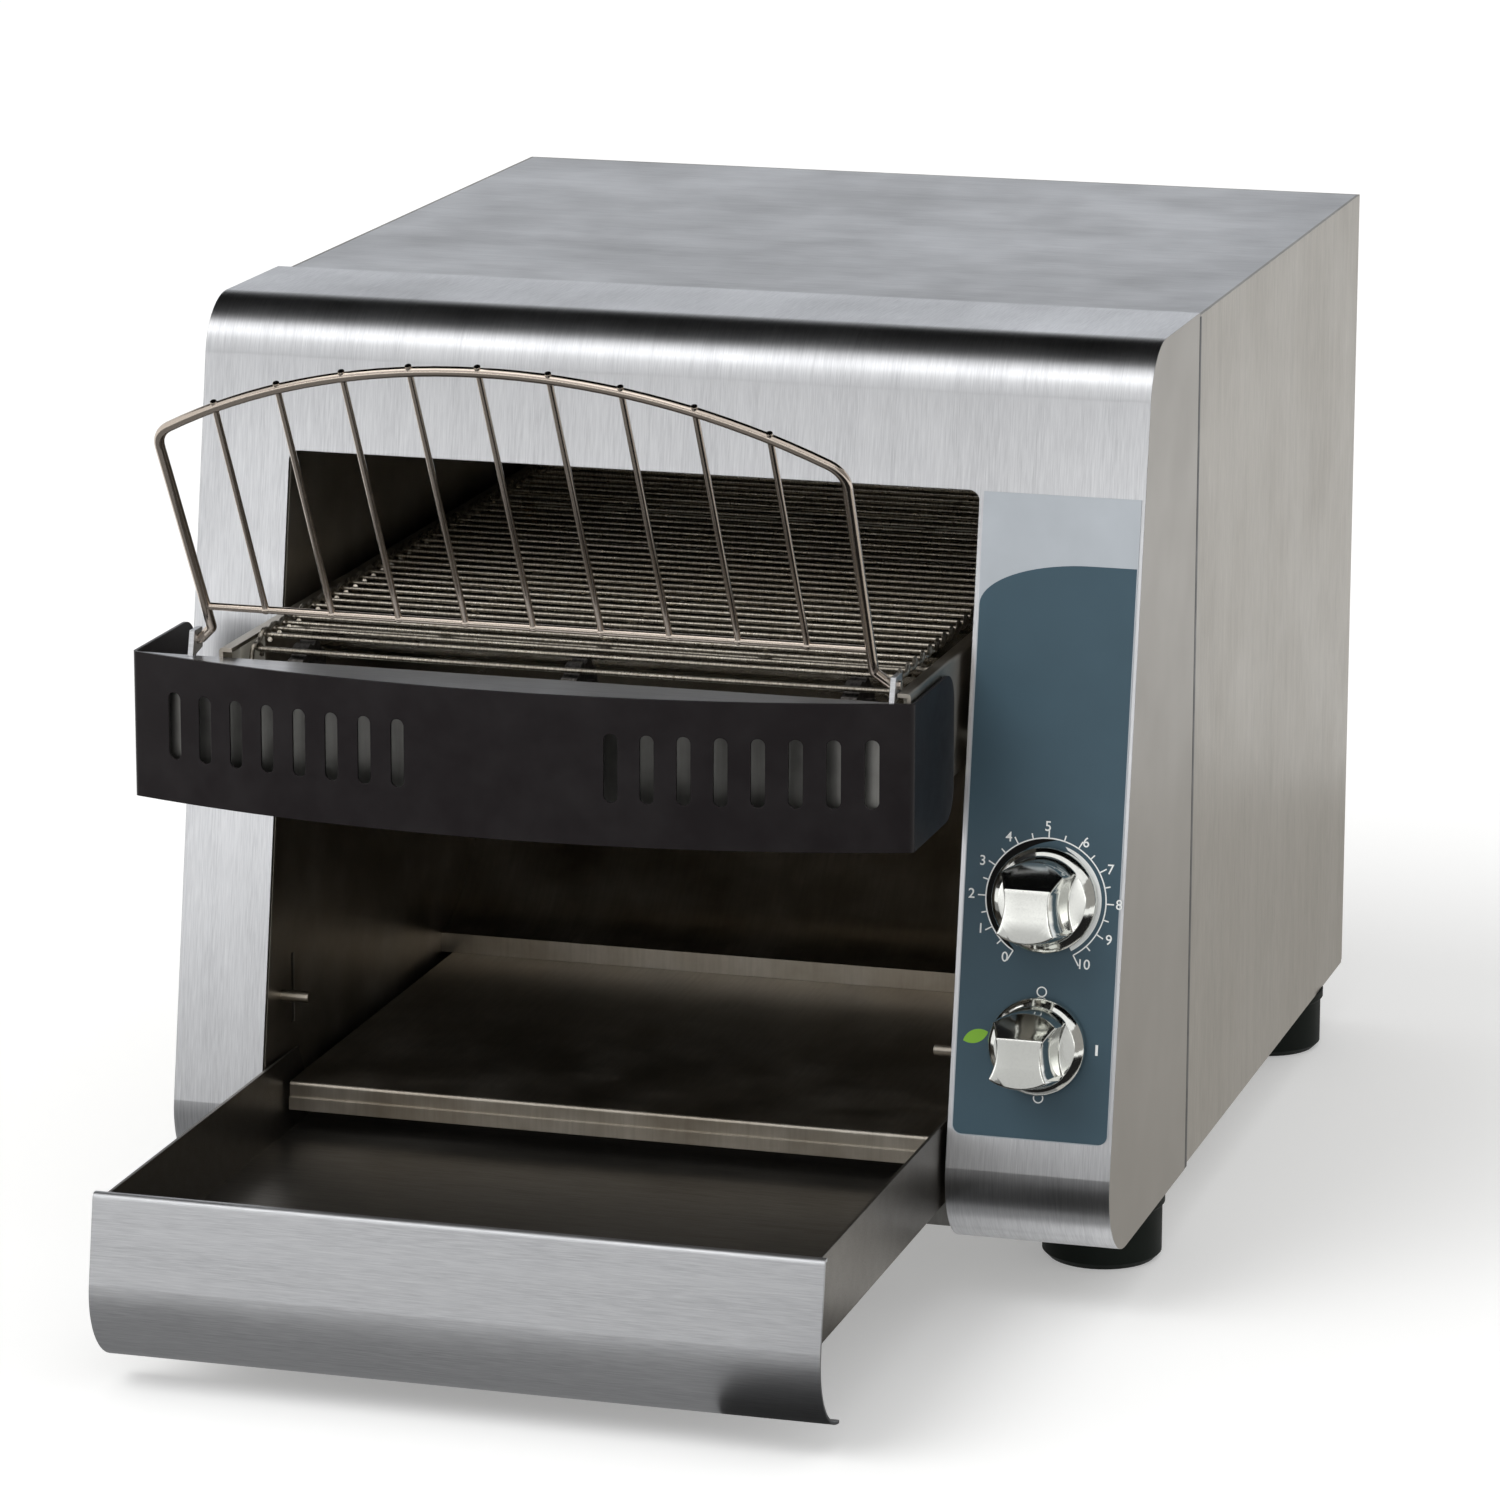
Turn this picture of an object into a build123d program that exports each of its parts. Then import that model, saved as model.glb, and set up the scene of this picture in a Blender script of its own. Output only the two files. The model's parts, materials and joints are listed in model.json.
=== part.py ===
from build123d import *
import os
from math import asin, atan2, cos, degrees, pi, radians, sin, tan

# Conveyor toaster for a counter. Millimetres, +X right, front towards -Y, +Z up.
# The pieces are drawn from a build datum: y = 0 is the front edge of the side panels and z = 0 is
# the underside of the base pan. write_parts() moves them all to the centre of the footprint.

# Housing
body_width = 368.0
body_height = 334.0
side_depth = 314.0
sheet = 1.2
liner_sheet = 1.0
cover_lap = 12.0
pan_flange = 14.0
liner_gap = 1.4
liner_headroom = 8.0
liner_step = 15.0
liner_tail = 4.0

# Front cover: a horizontal top strip, a slanted face and a curled lower edge
face_tilt = 9.6
face_top_y = -77.1
cover_rise = 2.0
top_bend = 24.0
curl_radius = 28.6
curl_run = 36.9

# Openings in the cover
left_wall = 35.5
control_column = 62.5
top_strip = 55.0
opening_corner = 4.0

# Feet
foot_height = 25.0
foot_radius = 24.0
foot_front_inset = -36.0
foot_back_inset = 48.0
foot_lip = 4.0
foot_waist = 1.0
foot_edge = 2.5
foot_web = 6.0
foot_well_radius = 6.0
foot_screw_radius = 2.5
foot_head_radius = 4.6
foot_head = 2.6
foot_nut = 3.5

# Wire belt: rods that hook into each other, carried by toothed wheels
belt_pitch = 10.5
belt_back_gap = 116.3
belt_side_gap = 4.0
belt_nose_gap = 4.0
belt_wire = 1.0
splice_place = 2
belt_top_z = 224.0
wheel_teeth = 10
wheel_width = 6.0
wheel_inset = 17.0
wheel_run = 0.5
wheel_notch = 1.4
wheel_hub = 4.0
hook_run = 0.3
front_shaft_y = -150.0
front_shaft_radius = 4.0
drive_shaft_radius = 5.0
shaft_hole_gap = 2.0
slide_wire = 1.5
slide_spacing = 62.0
slide_end_gap = 28.0
slide_bar_inset = 8.0
slide_bar_wire = 2.0

# Conveyor side rails
rail_sheet = 1.5
rail_gap = 3.0
rail_height = 45.0
rail_drop = 1.0
rail_tail = 30.0
rail_curl = 3.5
rail_corner = 10.0
spacer_radius = 5.0
spacer_rise = 8.0
spacer_y = (-80.0, 60.0)
bearing_half = 13.0
bearing_drop = 11.0
bush_wall = 3.0
bush_flange = 2.0
bore_run = 0.08

# Bowed guard and the bar behind it
guard_wing = 30.5
guard_side_gap = 1.1
guard_sheet = 1.2
guard_bottom_z = 165.0
guard_top_z = 220.0
guard_setback = 2.0
guard_bow = 24.0
guard_corner = 2.5
guard_left_flange = 62.0
guard_right_flange = 57.0
guard_flange_corner = 11.0
slot_count = 8
slot_margin = 16.45
slot_first = 40.5
slot_width = 5.2
slot_height = 25.5
slot_centre_z = 194.0
slot_shift = 2.0
bar_step = 0.5
bar_drop = 16.0
bar_sheet = 1.2
bar_gap = 0.3

# Wire rack
rack_side_gap = 15.9
rack_splay = 2.0
rack_lean = 30.0
rack_wire = 1.9
rack_bar_wire = 1.2
rack_cross_wire = 1.4
rack_corner_s = 100.0
rack_apex_s = 137.0
rack_corner = 11.0
rack_cross_s = 16.5
rack_bars = 9
rack_bar_margin = 23.3
rack_leg = 9.5
rack_leg_rise = 6.0
rack_bar_rise = 0.8
ear_sheet = 2.0
ear_height = 3.6
ear_foot = 2.5
ear_half = 4.0
ear_end_gap = 1.0
rack_pivot_back = 4.0
rack_pivot_rise = 5.2
rack_run = 0.1

# Toast tray
tray_side_gap = 2.0
tray_overhang = 3.0
tray_sheet = 1.2
tray_floor_z = 17.2
tray_face_gap = 0.2
tray_rear_notch = 9.0
tray_rear_wall = 16.0
tray_chute_gap = 2.0
tray_top_z = 50.0
tray_stop_gap = 3.5
tray_depth = 228.0
tray_back_wall = 7.0
tray_curl = 28.6
tray_curl_turn = 74.0
tray_hem = 3.0
tray_edge = 2.0
tray_travel = 168.0
tray_float = 0.3
runner_width = 12.0
runner_inset = 4.0
runner_tail = 3.0

# Exit floor and rear chute
floor_side_gap = 5.0
floor_lip_y = -110.0
floor_lip = 11.0
floor_hem = 5.0
floor_z = 39.0
chute_step_y = 84.0
chute_step = 8.0
chute_ledge = 20.0
chute_ledge_rise = 4.0
chute_overlap = 14.0
chute_float = 0.1
chute_back_gap = 20.8
chute_knee_z = 214.0
chute_drop_gap = 39.5
chute_bend = 40.0
chute_knee = 30.0
pin_inset = 19.0
pin_z = 71.0
pin_radius = 2.25
pin_reach = 11.0
pin_tail = 2.0
keyhole_width = 3.0
keyhole_height = 28.0
keyhole_back = 10.0

# Heaters
tube_radius = 6.0
tube_wall = 1.2
tube_count = 3
tube_back_gap = 76.5
tube_hole_gap = 0.6
upper_tube_drop = 34.0
upper_tube_y = -15.0
lower_tube_y = -70.0
tube_end = 9.0
ceramic_radius = 9.0
ceramic_length = 16.0
element_radius = 2.0
reflector_sheet = 0.8
reflector_bend = 3.0
reflector_side = 30.0
reflector_wall = 5.0
reflector_tail = 16.0
upper_reflector_gap = 8.0
lower_reflector_gap = 4.0
lip_gap = 5.0
lip_inset = 6.0
lip_slant = 9.0

# Controls on the slanted face
plate_inner_margin = 1.7
plate_outer_margin = 1.4
plate_bottom_z = 46.0
plate_thickness = 0.5
plate_corner = 5.0
plate_chamfer = 2.5
knob_shift = 1.6
speed_knob_z = 134.3
power_knob_z = 80.8
knob_radius = 18.2
knob_skirt = 5.0
knob_height = 31.0
knob_top_radius = 13.0
knob_grip = 19.0
knob_scoop = 26.0
knob_scoop_tilt = 7.0
knob_edge = 1.5
knob_shoulder = 1.0
knob_round = 0.6
knob_facet_tilt = 38.0
knob_facet = 6.0
knob_socket = 14.0
knob_gap = 0.6
spindle_radius = 3.0
spindle_grip = 12.0
spindle_depth = 7.2
bore_depth = 8.4
bushing_radius = 4.7
bushing_run = 0.1
bushing_rise = 0.3
control_depth = 12.0
control_radius = 12.0
switch_size = 30.0
switch_depth = 26.0

# Drive in the control compartment
chain_pitch = 6.35
driven_teeth = 20
motor_teeth = 15
chain_gap = 8.5
chain_run = 0.35
chain_hub = 3.0
chain_hub_reach = 2.2
chain_tail = 6.0
chain_plate = 2.6
chain_width = 3.2
chain_strap = 0.8
roller_radius = 1.65
motor_drop = 118.0
gearbox_width = 46.0
gearbox_height = 66.0
gearbox_length = 18.0
gearbox_corner = 6.0
motor_radius = 23.0
motor_length = 24.0
motor_shaft_radius = 4.0
motor_gap = 4.4
motor_rise = 26.4
bracket_sheet = 2.0

# Cooling fan on the back panel
fan_size = 50.0
fan_depth = 15.0
fan_z = 176.0
fan_blade_tilt = 38.0
fan_blade_chord = 9.0
fan_blade = 1.0
fan_seat = 2.0
fan_end_gap = 0.4
fan_slot_pitch = 8.0
fan_slots = 5
fan_slot_inset = 4.0
fan_hub_radius = 11.0
fan_sweep_radius = 22.5
fan_blades = 7
fan_clearance = 1.0
fan_pin_radius = 1.5

# Back panel
vent_rows = 7
vent_pitch = 12.0
vent_width = 62.0
vent_height = 4.5
vent_z = 236.0
vent_spacing = 78.0
gland_z = 34.0
gland_radius = 8.0
gland_bore = 4.6
gland_flange = 3.0
gland_rim = 2.5
gland_tail = 6.0
gland_run = 0.05
base_slots = 6
base_slot_pitch = 12.0
base_slot_y = 60.0
base_slot_length = 40.0
base_slot_width = 5.0

# Mains terminals and the speed board
terminal_back_gap = 75.0
terminal_width = 34.0
terminal_depth = 18.0
terminal_height = 14.0
terminal_pitch = 10.5
terminal_well = 3.0
terminal_well_depth = 6.0
board_y = 60.0
board_z = 95.0
board_length = 80.0
board_height = 70.0
board_standoff = 8.0
board_thickness = 1.6
board_leg_radius = 3.0
board_leg_inset = 6.0
heat_sink_width = 12.4
heat_sink_length = 22.0
heat_sink_height = 26.0
capacitor_radius = 8.0
capacitor_height = 18.4
capacitor_shift = 22.0

# Fasteners
screw_radius = 2.0
screw_head_radius = 3.8
screw_head = 2.2
screw_tail = 2.0
back_screw_z = (30.0, 122.0, 304.0)

# Values that follow from the sizes above
half = body_width / 2
skin = half - sheet
inner = skin - sheet
chamber_left = left_wall - half
chamber_right = half - control_column
chamber_width = chamber_right - chamber_left
chamber_x = (chamber_left + chamber_right) / 2
liner_right_outer = chamber_right + liner_sheet
liner_left_outer = chamber_left - liner_sheet
face_slope = tan(radians(face_tilt))
cover_z = body_height + cover_rise
opening_top = cover_z - top_strip
plate_top_z = opening_top
upper_tube_z = cover_z - upper_tube_drop
back_outer_y = side_depth
back_inner_y = side_depth - sheet
flange_face_y = back_inner_y - sheet
foot_x = half - foot_radius
wheel_pitch_radius = belt_pitch / (2 * sin(pi / wheel_teeth))
shaft_z = belt_top_z - wheel_pitch_radius
belt_links = round((back_inner_y - belt_back_gap - front_shaft_y) / belt_pitch)
belt_straight = belt_links * belt_pitch
drive_shaft_y = front_shaft_y + belt_straight
tube_pitch = (drive_shaft_y - tube_back_gap - lower_tube_y) / (tube_count - 1)
rail_inner = chamber_width / 2 - rail_gap - rail_sheet
rail_top_z = belt_top_z - rail_drop
rail_bottom_z = rail_top_z - rail_height
rail_front_y = front_shaft_y - wheel_pitch_radius - belt_wire - belt_nose_gap
rail_back_y = drive_shaft_y + rail_tail
belt_width = 2 * (rail_inner - rail_curl - belt_side_gap)
wheel_spacing = belt_width / 2 - wheel_inset
bar_back_y = rail_front_y
bar_z = guard_top_z - bar_step
guard_left = chamber_left - guard_wing
guard_right = chamber_right - guard_side_gap
guard_x = (guard_left + guard_right) / 2
guard_half = (guard_right - guard_left) / 2
slot_pitch = (guard_half - slot_margin - slot_first) / (slot_count - 1)
guard_corner_y = bar_back_y - guard_setback
rack_half = (guard_right - rack_side_gap - chamber_left) / 2
rack_x = guard_right - rack_side_gap - rack_half
rack_bar_pitch = 2 * (rack_half - rack_bar_margin) / (rack_bars - 1)
rack_pivot_y = bar_back_y + rack_pivot_back
rack_pivot_z = guard_top_z + rack_pivot_rise
chute_bend_y = chute_step_y + chute_ledge
floor_back_y = chute_bend_y + chute_overlap
chute_top_y = back_inner_y - chute_back_gap
chute_knee_y = rail_back_y + chute_drop_gap
upper_reflector_z = upper_tube_z + tube_radius + upper_reflector_gap
chute_top_z = upper_reflector_z - reflector_tail
upper_lip_z = opening_top + lip_gap
lower_tube_z = shaft_z
lower_reflector_z = lower_tube_z - tube_radius - lower_reflector_gap
plate_left = chamber_right + plate_inner_margin
plate_right = half - plate_outer_margin
knob_x = (plate_left + plate_right) / 2 + knob_shift
compartment_x = (liner_right_outer + inner) / 2
chain_x = liner_right_outer + chain_gap
gearbox_x = chain_x + chain_width / 2 + motor_gap
motor_y = drive_shaft_y
motor_z = shaft_z - motor_drop
gearbox_z = motor_z - motor_rise
back_screw_x = inner - pan_flange / 2
tray_half = chamber_width / 2 - tray_side_gap


def face_y(z):
    """Y of the cover's slanted outer face at height z."""
    return face_top_y - (cover_z - z) * face_slope


curl_lip_y = face_y(0) + curl_run
pin_y = face_y(pin_z) + pin_inset
tray_front_y = face_y(tray_top_z) - tray_stop_gap - tray_travel
tray_back_y = tray_front_y + tray_depth
tray_low_run = tray_back_y + tray_travel - chute_step_y + tray_chute_gap


def block(x0, x1, y0, y1, z0, z1):
    """Box between two corners, given in either order."""
    box = Box(abs(x1 - x0), abs(y1 - y0), abs(z1 - z0), align=(Align.MIN, Align.MIN, Align.MIN))
    return Pos(min(x0, x1), min(y0, y1), min(z0, z1)) * box


def rod_x(x0, x1, y, z, radius):
    """Round bar along X between two ends, given in either order."""
    face = Plane.YZ * Pos(y, z) * Circle(radius)
    return Pos(min(x0, x1), 0, 0) * extrude(face, amount=abs(x1 - x0))


def post(radius, height, z0=0.0):
    """Round bar up from z0 in a piece's own frame."""
    return Pos(0, 0, z0) * Cylinder(radius, height, align=(Align.CENTER, Align.CENTER, Align.MIN))


def rod_y(x, y0, y1, z, radius):
    """Round bar along Y."""
    return Pos(x, y0, z) * Rot(-90, 0, 0) * post(radius, y1 - y0)


def rod_z(x, y, z0, z1, radius):
    """Round bar along Z."""
    return Pos(x, y, z0) * post(radius, z1 - z0)


def prism_x(points, x0, x1):
    """Closed (y, z) outline extruded along X."""
    outline = make_face(Polyline(*points, close=True))
    return Pos(min(x0, x1), 0, 0) * extrude(Plane.YZ * outline, amount=abs(x1 - x0))


def bent_sheet(points, radii, thickness, x0, x1, side=Side.LEFT):
    """Sheet folded along a (y, z) line. side says where the thickness lies."""
    line = FilletPolyline(*points, radius=radii)
    section = make_face(offset(line, amount=thickness, side=side))
    return Pos(x0, 0, 0) * extrude(Plane.YZ * section, amount=x1 - x0)


def on_face(x, z):
    """Plane on the cover's outer face, looking outwards, with its Y up the slope."""
    outward = (0, -cos(radians(face_tilt)), sin(radians(face_tilt)))
    return Plane(origin=(x, face_y(z), z), x_dir=(1, 0, 0), z_dir=outward)


def stadium_cut_y(x, z, width, height, y0, y1):
    """Cutter along Y with round ends, for a slot in an upright sheet."""
    if width > height:
        outline = SlotOverall(width, height)
    else:
        outline = SlotOverall(height, width, rotation=90)
    cutter = extrude(Plane.XZ.offset(-y0) * Pos(x, z) * outline, amount=-(y1 - y0))
    return cutter


# ---------------------------------------------------------------- housing

def cover_outline():
    """Outer (y, z) corners of the front cover before its bends."""
    return [(0, cover_z), (face_top_y, cover_z), (face_y(0), 0), (curl_lip_y, 0)]


def make_front_cover():
    """Wrap with two cheeks, cut open over the chamber and down through the curl."""
    radii = [top_bend, curl_radius]
    wrap = bent_sheet(cover_outline(), radii, sheet, -half, half)
    profile = FilletPolyline(*cover_outline(), radius=radii)
    closing = Polyline((curl_lip_y, 0), (0, 0), (0, cover_z))
    cheek = extrude(Plane.YZ * make_face([*profile.edges(), *closing.edges()]), amount=sheet)
    cover = wrap + Pos(-half, 0, 0) * cheek + Pos(half - sheet, 0, 0) * cheek
    gap = Plane.XZ * Pos(chamber_x, 0) * Rectangle(chamber_width, 2 * opening_top)
    corners = gap.vertices().group_by(Axis.Z)[-1]
    gap = fillet(corners, opening_corner)
    cover -= extrude(gap, amount=body_height)
    for z in (speed_knob_z, power_knob_z):
        cover -= extrude(on_face(knob_x, z) * Circle(bushing_radius), amount=2 * sheet, both=True)
    return cover


def make_side_panel(sign):
    """Flat side with an inward flange at the back for the back panel's screws."""
    wall = block(sign * skin, sign * inner, -cover_lap, back_inner_y, 0, body_height)
    lip = sign * (inner - pan_flange)
    back = block(lip, sign * inner, flange_face_y, back_inner_y, sheet, body_height - sheet)
    return wall + back - back_screw_holes()


def make_top_panel():
    """Top skin with a flange down each side, tucked under the cover's strip."""
    top = block(-inner, inner, -cover_lap, back_inner_y, body_height - sheet, body_height)
    for side in (-inner, inner - sheet):
        y1 = flange_face_y - liner_sheet
        top += block(side, side + sheet, -cover_lap, y1, body_height - pan_flange, body_height)
    return top


def make_back_panel():
    """Flat back with three banks of vent slots, a fan opening and the cord hole."""
    panel = block(-skin, skin, back_inner_y, back_outer_y, sheet, body_height)
    y0 = back_inner_y - sheet
    y1 = back_outer_y + sheet
    for bank in (-1, 0, 1):
        x = chamber_x + bank * vent_spacing
        for row in range(vent_rows):
            z = vent_z + (row - (vent_rows - 1) / 2) * vent_pitch
            panel -= stadium_cut_y(x, z, vent_width, vent_height, y0, y1)
    for row in range(fan_slots):
        drop = (row - (fan_slots - 1) / 2) * fan_slot_pitch
        width = 2 * (fan_sweep_radius ** 2 - drop ** 2) ** 0.5 - fan_slot_inset
        panel -= stadium_cut_y(compartment_x, fan_z + drop, width, vent_height, y0, y1)
    panel -= rod_y(compartment_x, y0, y1, gland_z, gland_radius)
    return panel - back_screw_holes()


def back_screw_places():
    """(x, z) of the back panel's screws, along both side flanges."""
    return [(x, z) for x in (-back_screw_x, back_screw_x) for z in back_screw_z]


def back_screw_holes():
    """Cutters for the back screws."""
    y0 = flange_face_y - sheet
    y1 = back_outer_y + sheet
    return Compound([rod_y(x, y0, y1, z, screw_radius) for x, z in back_screw_places()])


def make_base_pan():
    """Floor with upturned edges, foot screw holes and air slots under the controls."""
    front = curl_lip_y + liner_gap
    pan = block(-inner, inner, front, back_inner_y, 0, sheet)
    for side in (-inner, inner - sheet):
        pan += block(side, side + sheet, front + curl_radius, flange_face_y, sheet, pan_flange)
    pan += block(chamber_left, chamber_right, front, front + sheet, sheet, pan_flange)
    for x, y in foot_places():
        pan -= rod_z(x, y, -sheet, 2 * sheet, foot_screw_radius)
    for step in range(base_slots):
        place = Pos(compartment_x, base_slot_y + step * base_slot_pitch)
        pan -= extrude(place * SlotOverall(base_slot_length, base_slot_width), amount=2 * sheet)
    return pan


def make_foot(x, y):
    """Moulded foot: a slightly waisted drum with a well for its screw."""
    waist = foot_radius - foot_waist
    half_profile = [
        (0, 0),
        (waist - foot_edge, 0),
        (waist, foot_edge),
        (waist, foot_height - foot_lip),
        (foot_radius, foot_height - foot_lip + foot_waist),
        (foot_radius, foot_height),
        (0, foot_height),
    ]
    foot = revolve(Plane.XZ * make_face(Polyline(*half_profile, close=True)), Axis.Z)
    foot -= post(foot_well_radius, foot_height - foot_web)
    foot -= post(foot_screw_radius + tray_float, foot_height)
    return Pos(x, y, -foot_height) * foot


def foot_places():
    """Centres of the four feet."""
    rows = (foot_front_inset, side_depth - foot_back_inset)
    return [(x, y) for x in (-foot_x, foot_x) for y in rows]


def make_feet():
    """The four feet."""
    return Compound(children=[make_foot(x, y) for x, y in foot_places()])


def make_foot_screw(x, y):
    """Pan-head screw up through a foot into the base, with its nut."""
    head = rod_z(x, y, -foot_web - foot_head, -foot_web, foot_head_radius)
    shank = rod_z(x, y, -foot_web, 2 * sheet + foot_nut, foot_screw_radius - bushing_run)
    nut = extrude(Pos(x, y, sheet) * RegularPolygon(foot_head_radius, 6), amount=foot_nut)
    return head + shank + nut


def make_foot_screws():
    """The four foot screws."""
    return Compound(children=[make_foot_screw(x, y) for x, y in foot_places()])


# ---------------------------------------------------------------- chamber

def liner_profile():
    """(y, z) outline of a chamber side wall, following the slanted face."""
    clear = sheet + liner_gap
    low_z = curl_radius + liner_step
    high_z = cover_z - top_bend - liner_step
    top_z = body_height - liner_headroom
    return [
        (curl_lip_y + clear, sheet),
        (face_y(curl_radius) + clear + curl_radius / 3, curl_radius / 2),
        (face_y(low_z) + clear, low_z),
        (face_y(high_z) + clear, high_z),
        (face_top_y + top_bend, top_z),
        (chute_top_y + liner_tail, top_z),
        (chute_top_y + liner_tail, sheet),
    ]


def tube_places():
    """(y, z) of every heating tube."""
    upper = [(upper_tube_y + i * tube_pitch, upper_tube_z) for i in range(tube_count)]
    lower = [(lower_tube_y + i * tube_pitch, lower_tube_z) for i in range(tube_count)]
    return upper, lower


def make_liner(x0, x1):
    """Chamber side wall with holes for the tubes and the keyhole slot of the chute pin."""
    wall = prism_x(liner_profile(), x0, x1)
    upper, lower = tube_places()
    for y, z in upper + lower:
        wall -= rod_x(x0 - 1, x1 + 1, y, z, tube_radius + tube_hole_gap)
    slot_y = pin_y + keyhole_back
    half_slot = keyhole_height / 2
    wall -= block(x0 - 1, x1 + 1, slot_y, slot_y + keyhole_width, pin_z - half_slot, pin_z + half_slot)
    wall -= rod_x(x0 - 1, x1 + 1, pin_y, pin_z, pin_radius)
    return wall


def make_left_liner():
    """Chamber side wall on the left."""
    return make_liner(liner_left_outer, chamber_left)


def make_right_liner():
    """Chamber side wall beside the controls, with a clear hole for the drive shaft."""
    wall = make_liner(chamber_right, liner_right_outer)
    hole = drive_shaft_radius + shaft_hole_gap
    return wall - rod_x(chamber_right - 1, liner_right_outer + 1, drive_shaft_y, shaft_z, hole)


def make_chute_pins():
    """Two pins through the chamber walls that the chute hangs on when it is turned round."""
    left = rod_x(liner_left_outer - pin_tail, chamber_left + pin_reach, pin_y, pin_z, pin_radius)
    right = rod_x(chamber_right - pin_reach, liner_right_outer + pin_tail, pin_y, pin_z, pin_radius)
    return Compound(children=[left, right])


def make_exit_floor():
    """Flat floor that toast leaves by, with a hemmed front lip and full-width rear ears."""
    x0 = chamber_left + floor_side_gap
    x1 = chamber_right - floor_side_gap
    lip_z = floor_z - floor_lip
    line = [(floor_lip_y, lip_z), (floor_lip_y, floor_z), (floor_back_y, floor_z)]
    floor = bent_sheet(line, [tray_sheet + tray_float], tray_sheet, x0, x1, Side.RIGHT)
    hem = block(x0, x1, floor_lip_y - tray_sheet, floor_lip_y, lip_z, lip_z + floor_hem)
    ears_y = chute_bend_y + bracket_sheet
    ears = block(chamber_left, chamber_right, ears_y, floor_back_y, floor_z - tray_sheet, floor_z)
    return floor + hem + ears


def make_rear_chute():
    """Curved sheet behind the belt that turns falling toast towards the front."""
    ledge_z = floor_z + chute_float + chute_step
    line = [
        (chute_step_y, ledge_z),
        (chute_bend_y, ledge_z + chute_ledge_rise),
        (chute_knee_y, chute_knee_z),
        (chute_top_y, chute_top_z),
    ]
    radii = [chute_bend, chute_knee]
    chute = bent_sheet(line, radii, tray_sheet, chamber_left, chamber_right, Side.RIGHT)
    step_y = chute_step_y + tray_sheet
    chute += block(chamber_left, chamber_right, chute_step_y, step_y, floor_z, floor_z + chute_step)
    x0 = chamber_left + floor_side_gap
    x1 = chamber_right - floor_side_gap
    foot_y = chute_step_y + chute_ledge / 2
    return chute + block(x0, x1, chute_step_y, foot_y, floor_z, floor_z + tray_sheet)


def make_upper_reflector():
    """Polished trough above the upper tubes, with a lip behind the opening's top edge."""
    front = face_y(upper_lip_z) + lip_inset
    line = [
        (front, upper_lip_z),
        (front + lip_slant, upper_reflector_z),
        (chute_top_y, upper_reflector_z),
        (chute_top_y, chute_top_z + tray_float),
    ]
    radii = [reflector_bend, reflector_bend]
    return bent_sheet(line, radii, reflector_sheet, chamber_left, chamber_right, Side.RIGHT)


def make_lower_reflector():
    """Shallow trough between the belt's two runs, under the lower tubes."""
    y0 = lower_tube_y - reflector_side
    y1 = lower_tube_y + (tube_count - 1) * tube_pitch + reflector_side
    z = lower_reflector_z
    line = [(y0, z + reflector_wall), (y0, z), (y1, z), (y1, z + reflector_wall)]
    radii = [reflector_bend - reflector_sheet, reflector_bend - reflector_sheet]
    x0 = chamber_x - rail_inner
    x1 = chamber_x + rail_inner
    return bent_sheet(line, radii, reflector_sheet, x0, x1, Side.RIGHT)


def make_tube(y, z):
    """Quartz tube that reaches through both chamber walls."""
    x0 = liner_left_outer - tube_end
    x1 = liner_right_outer + tube_end
    return rod_x(x0, x1, y, z, tube_radius) - rod_x(x0 - 1, x1 + 1, y, z, tube_radius - tube_wall)


def make_element(y, z):
    """Heating coil inside a tube, drawn as its outer cylinder."""
    x0 = liner_left_outer - tube_end
    x1 = liner_right_outer + tube_end
    return rod_x(x0, x1, y, z, element_radius)


def make_ceramic_pair(y, z):
    """Ceramic end caps of one tube, seated against the outsides of the walls."""
    caps = []
    for wall_x, outward in ((liner_left_outer, -1), (liner_right_outer, 1)):
        cap = rod_x(wall_x, wall_x + outward * ceramic_length, y, z, ceramic_radius)
        pocket = rod_x(wall_x, wall_x + outward * tube_end, y, z, tube_radius)
        caps.append(cap - pocket)
    return caps


def make_upper_tubes():
    """Upper quartz tubes."""
    return Compound(children=[make_tube(y, z) for y, z in tube_places()[0]])


def make_lower_tubes():
    """Lower quartz tubes."""
    return Compound(children=[make_tube(y, z) for y, z in tube_places()[1]])


def make_heating_coils():
    """The coil in every tube."""
    upper, lower = tube_places()
    return Compound(children=[make_element(y, z) for y, z in upper + lower])


def make_tube_ceramics():
    """Ceramic caps on both ends of every tube."""
    caps = []
    upper, lower = tube_places()
    for y, z in upper + lower:
        caps += make_ceramic_pair(y, z)
    return Compound(children=caps)


# ---------------------------------------------------------------- conveyor

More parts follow.
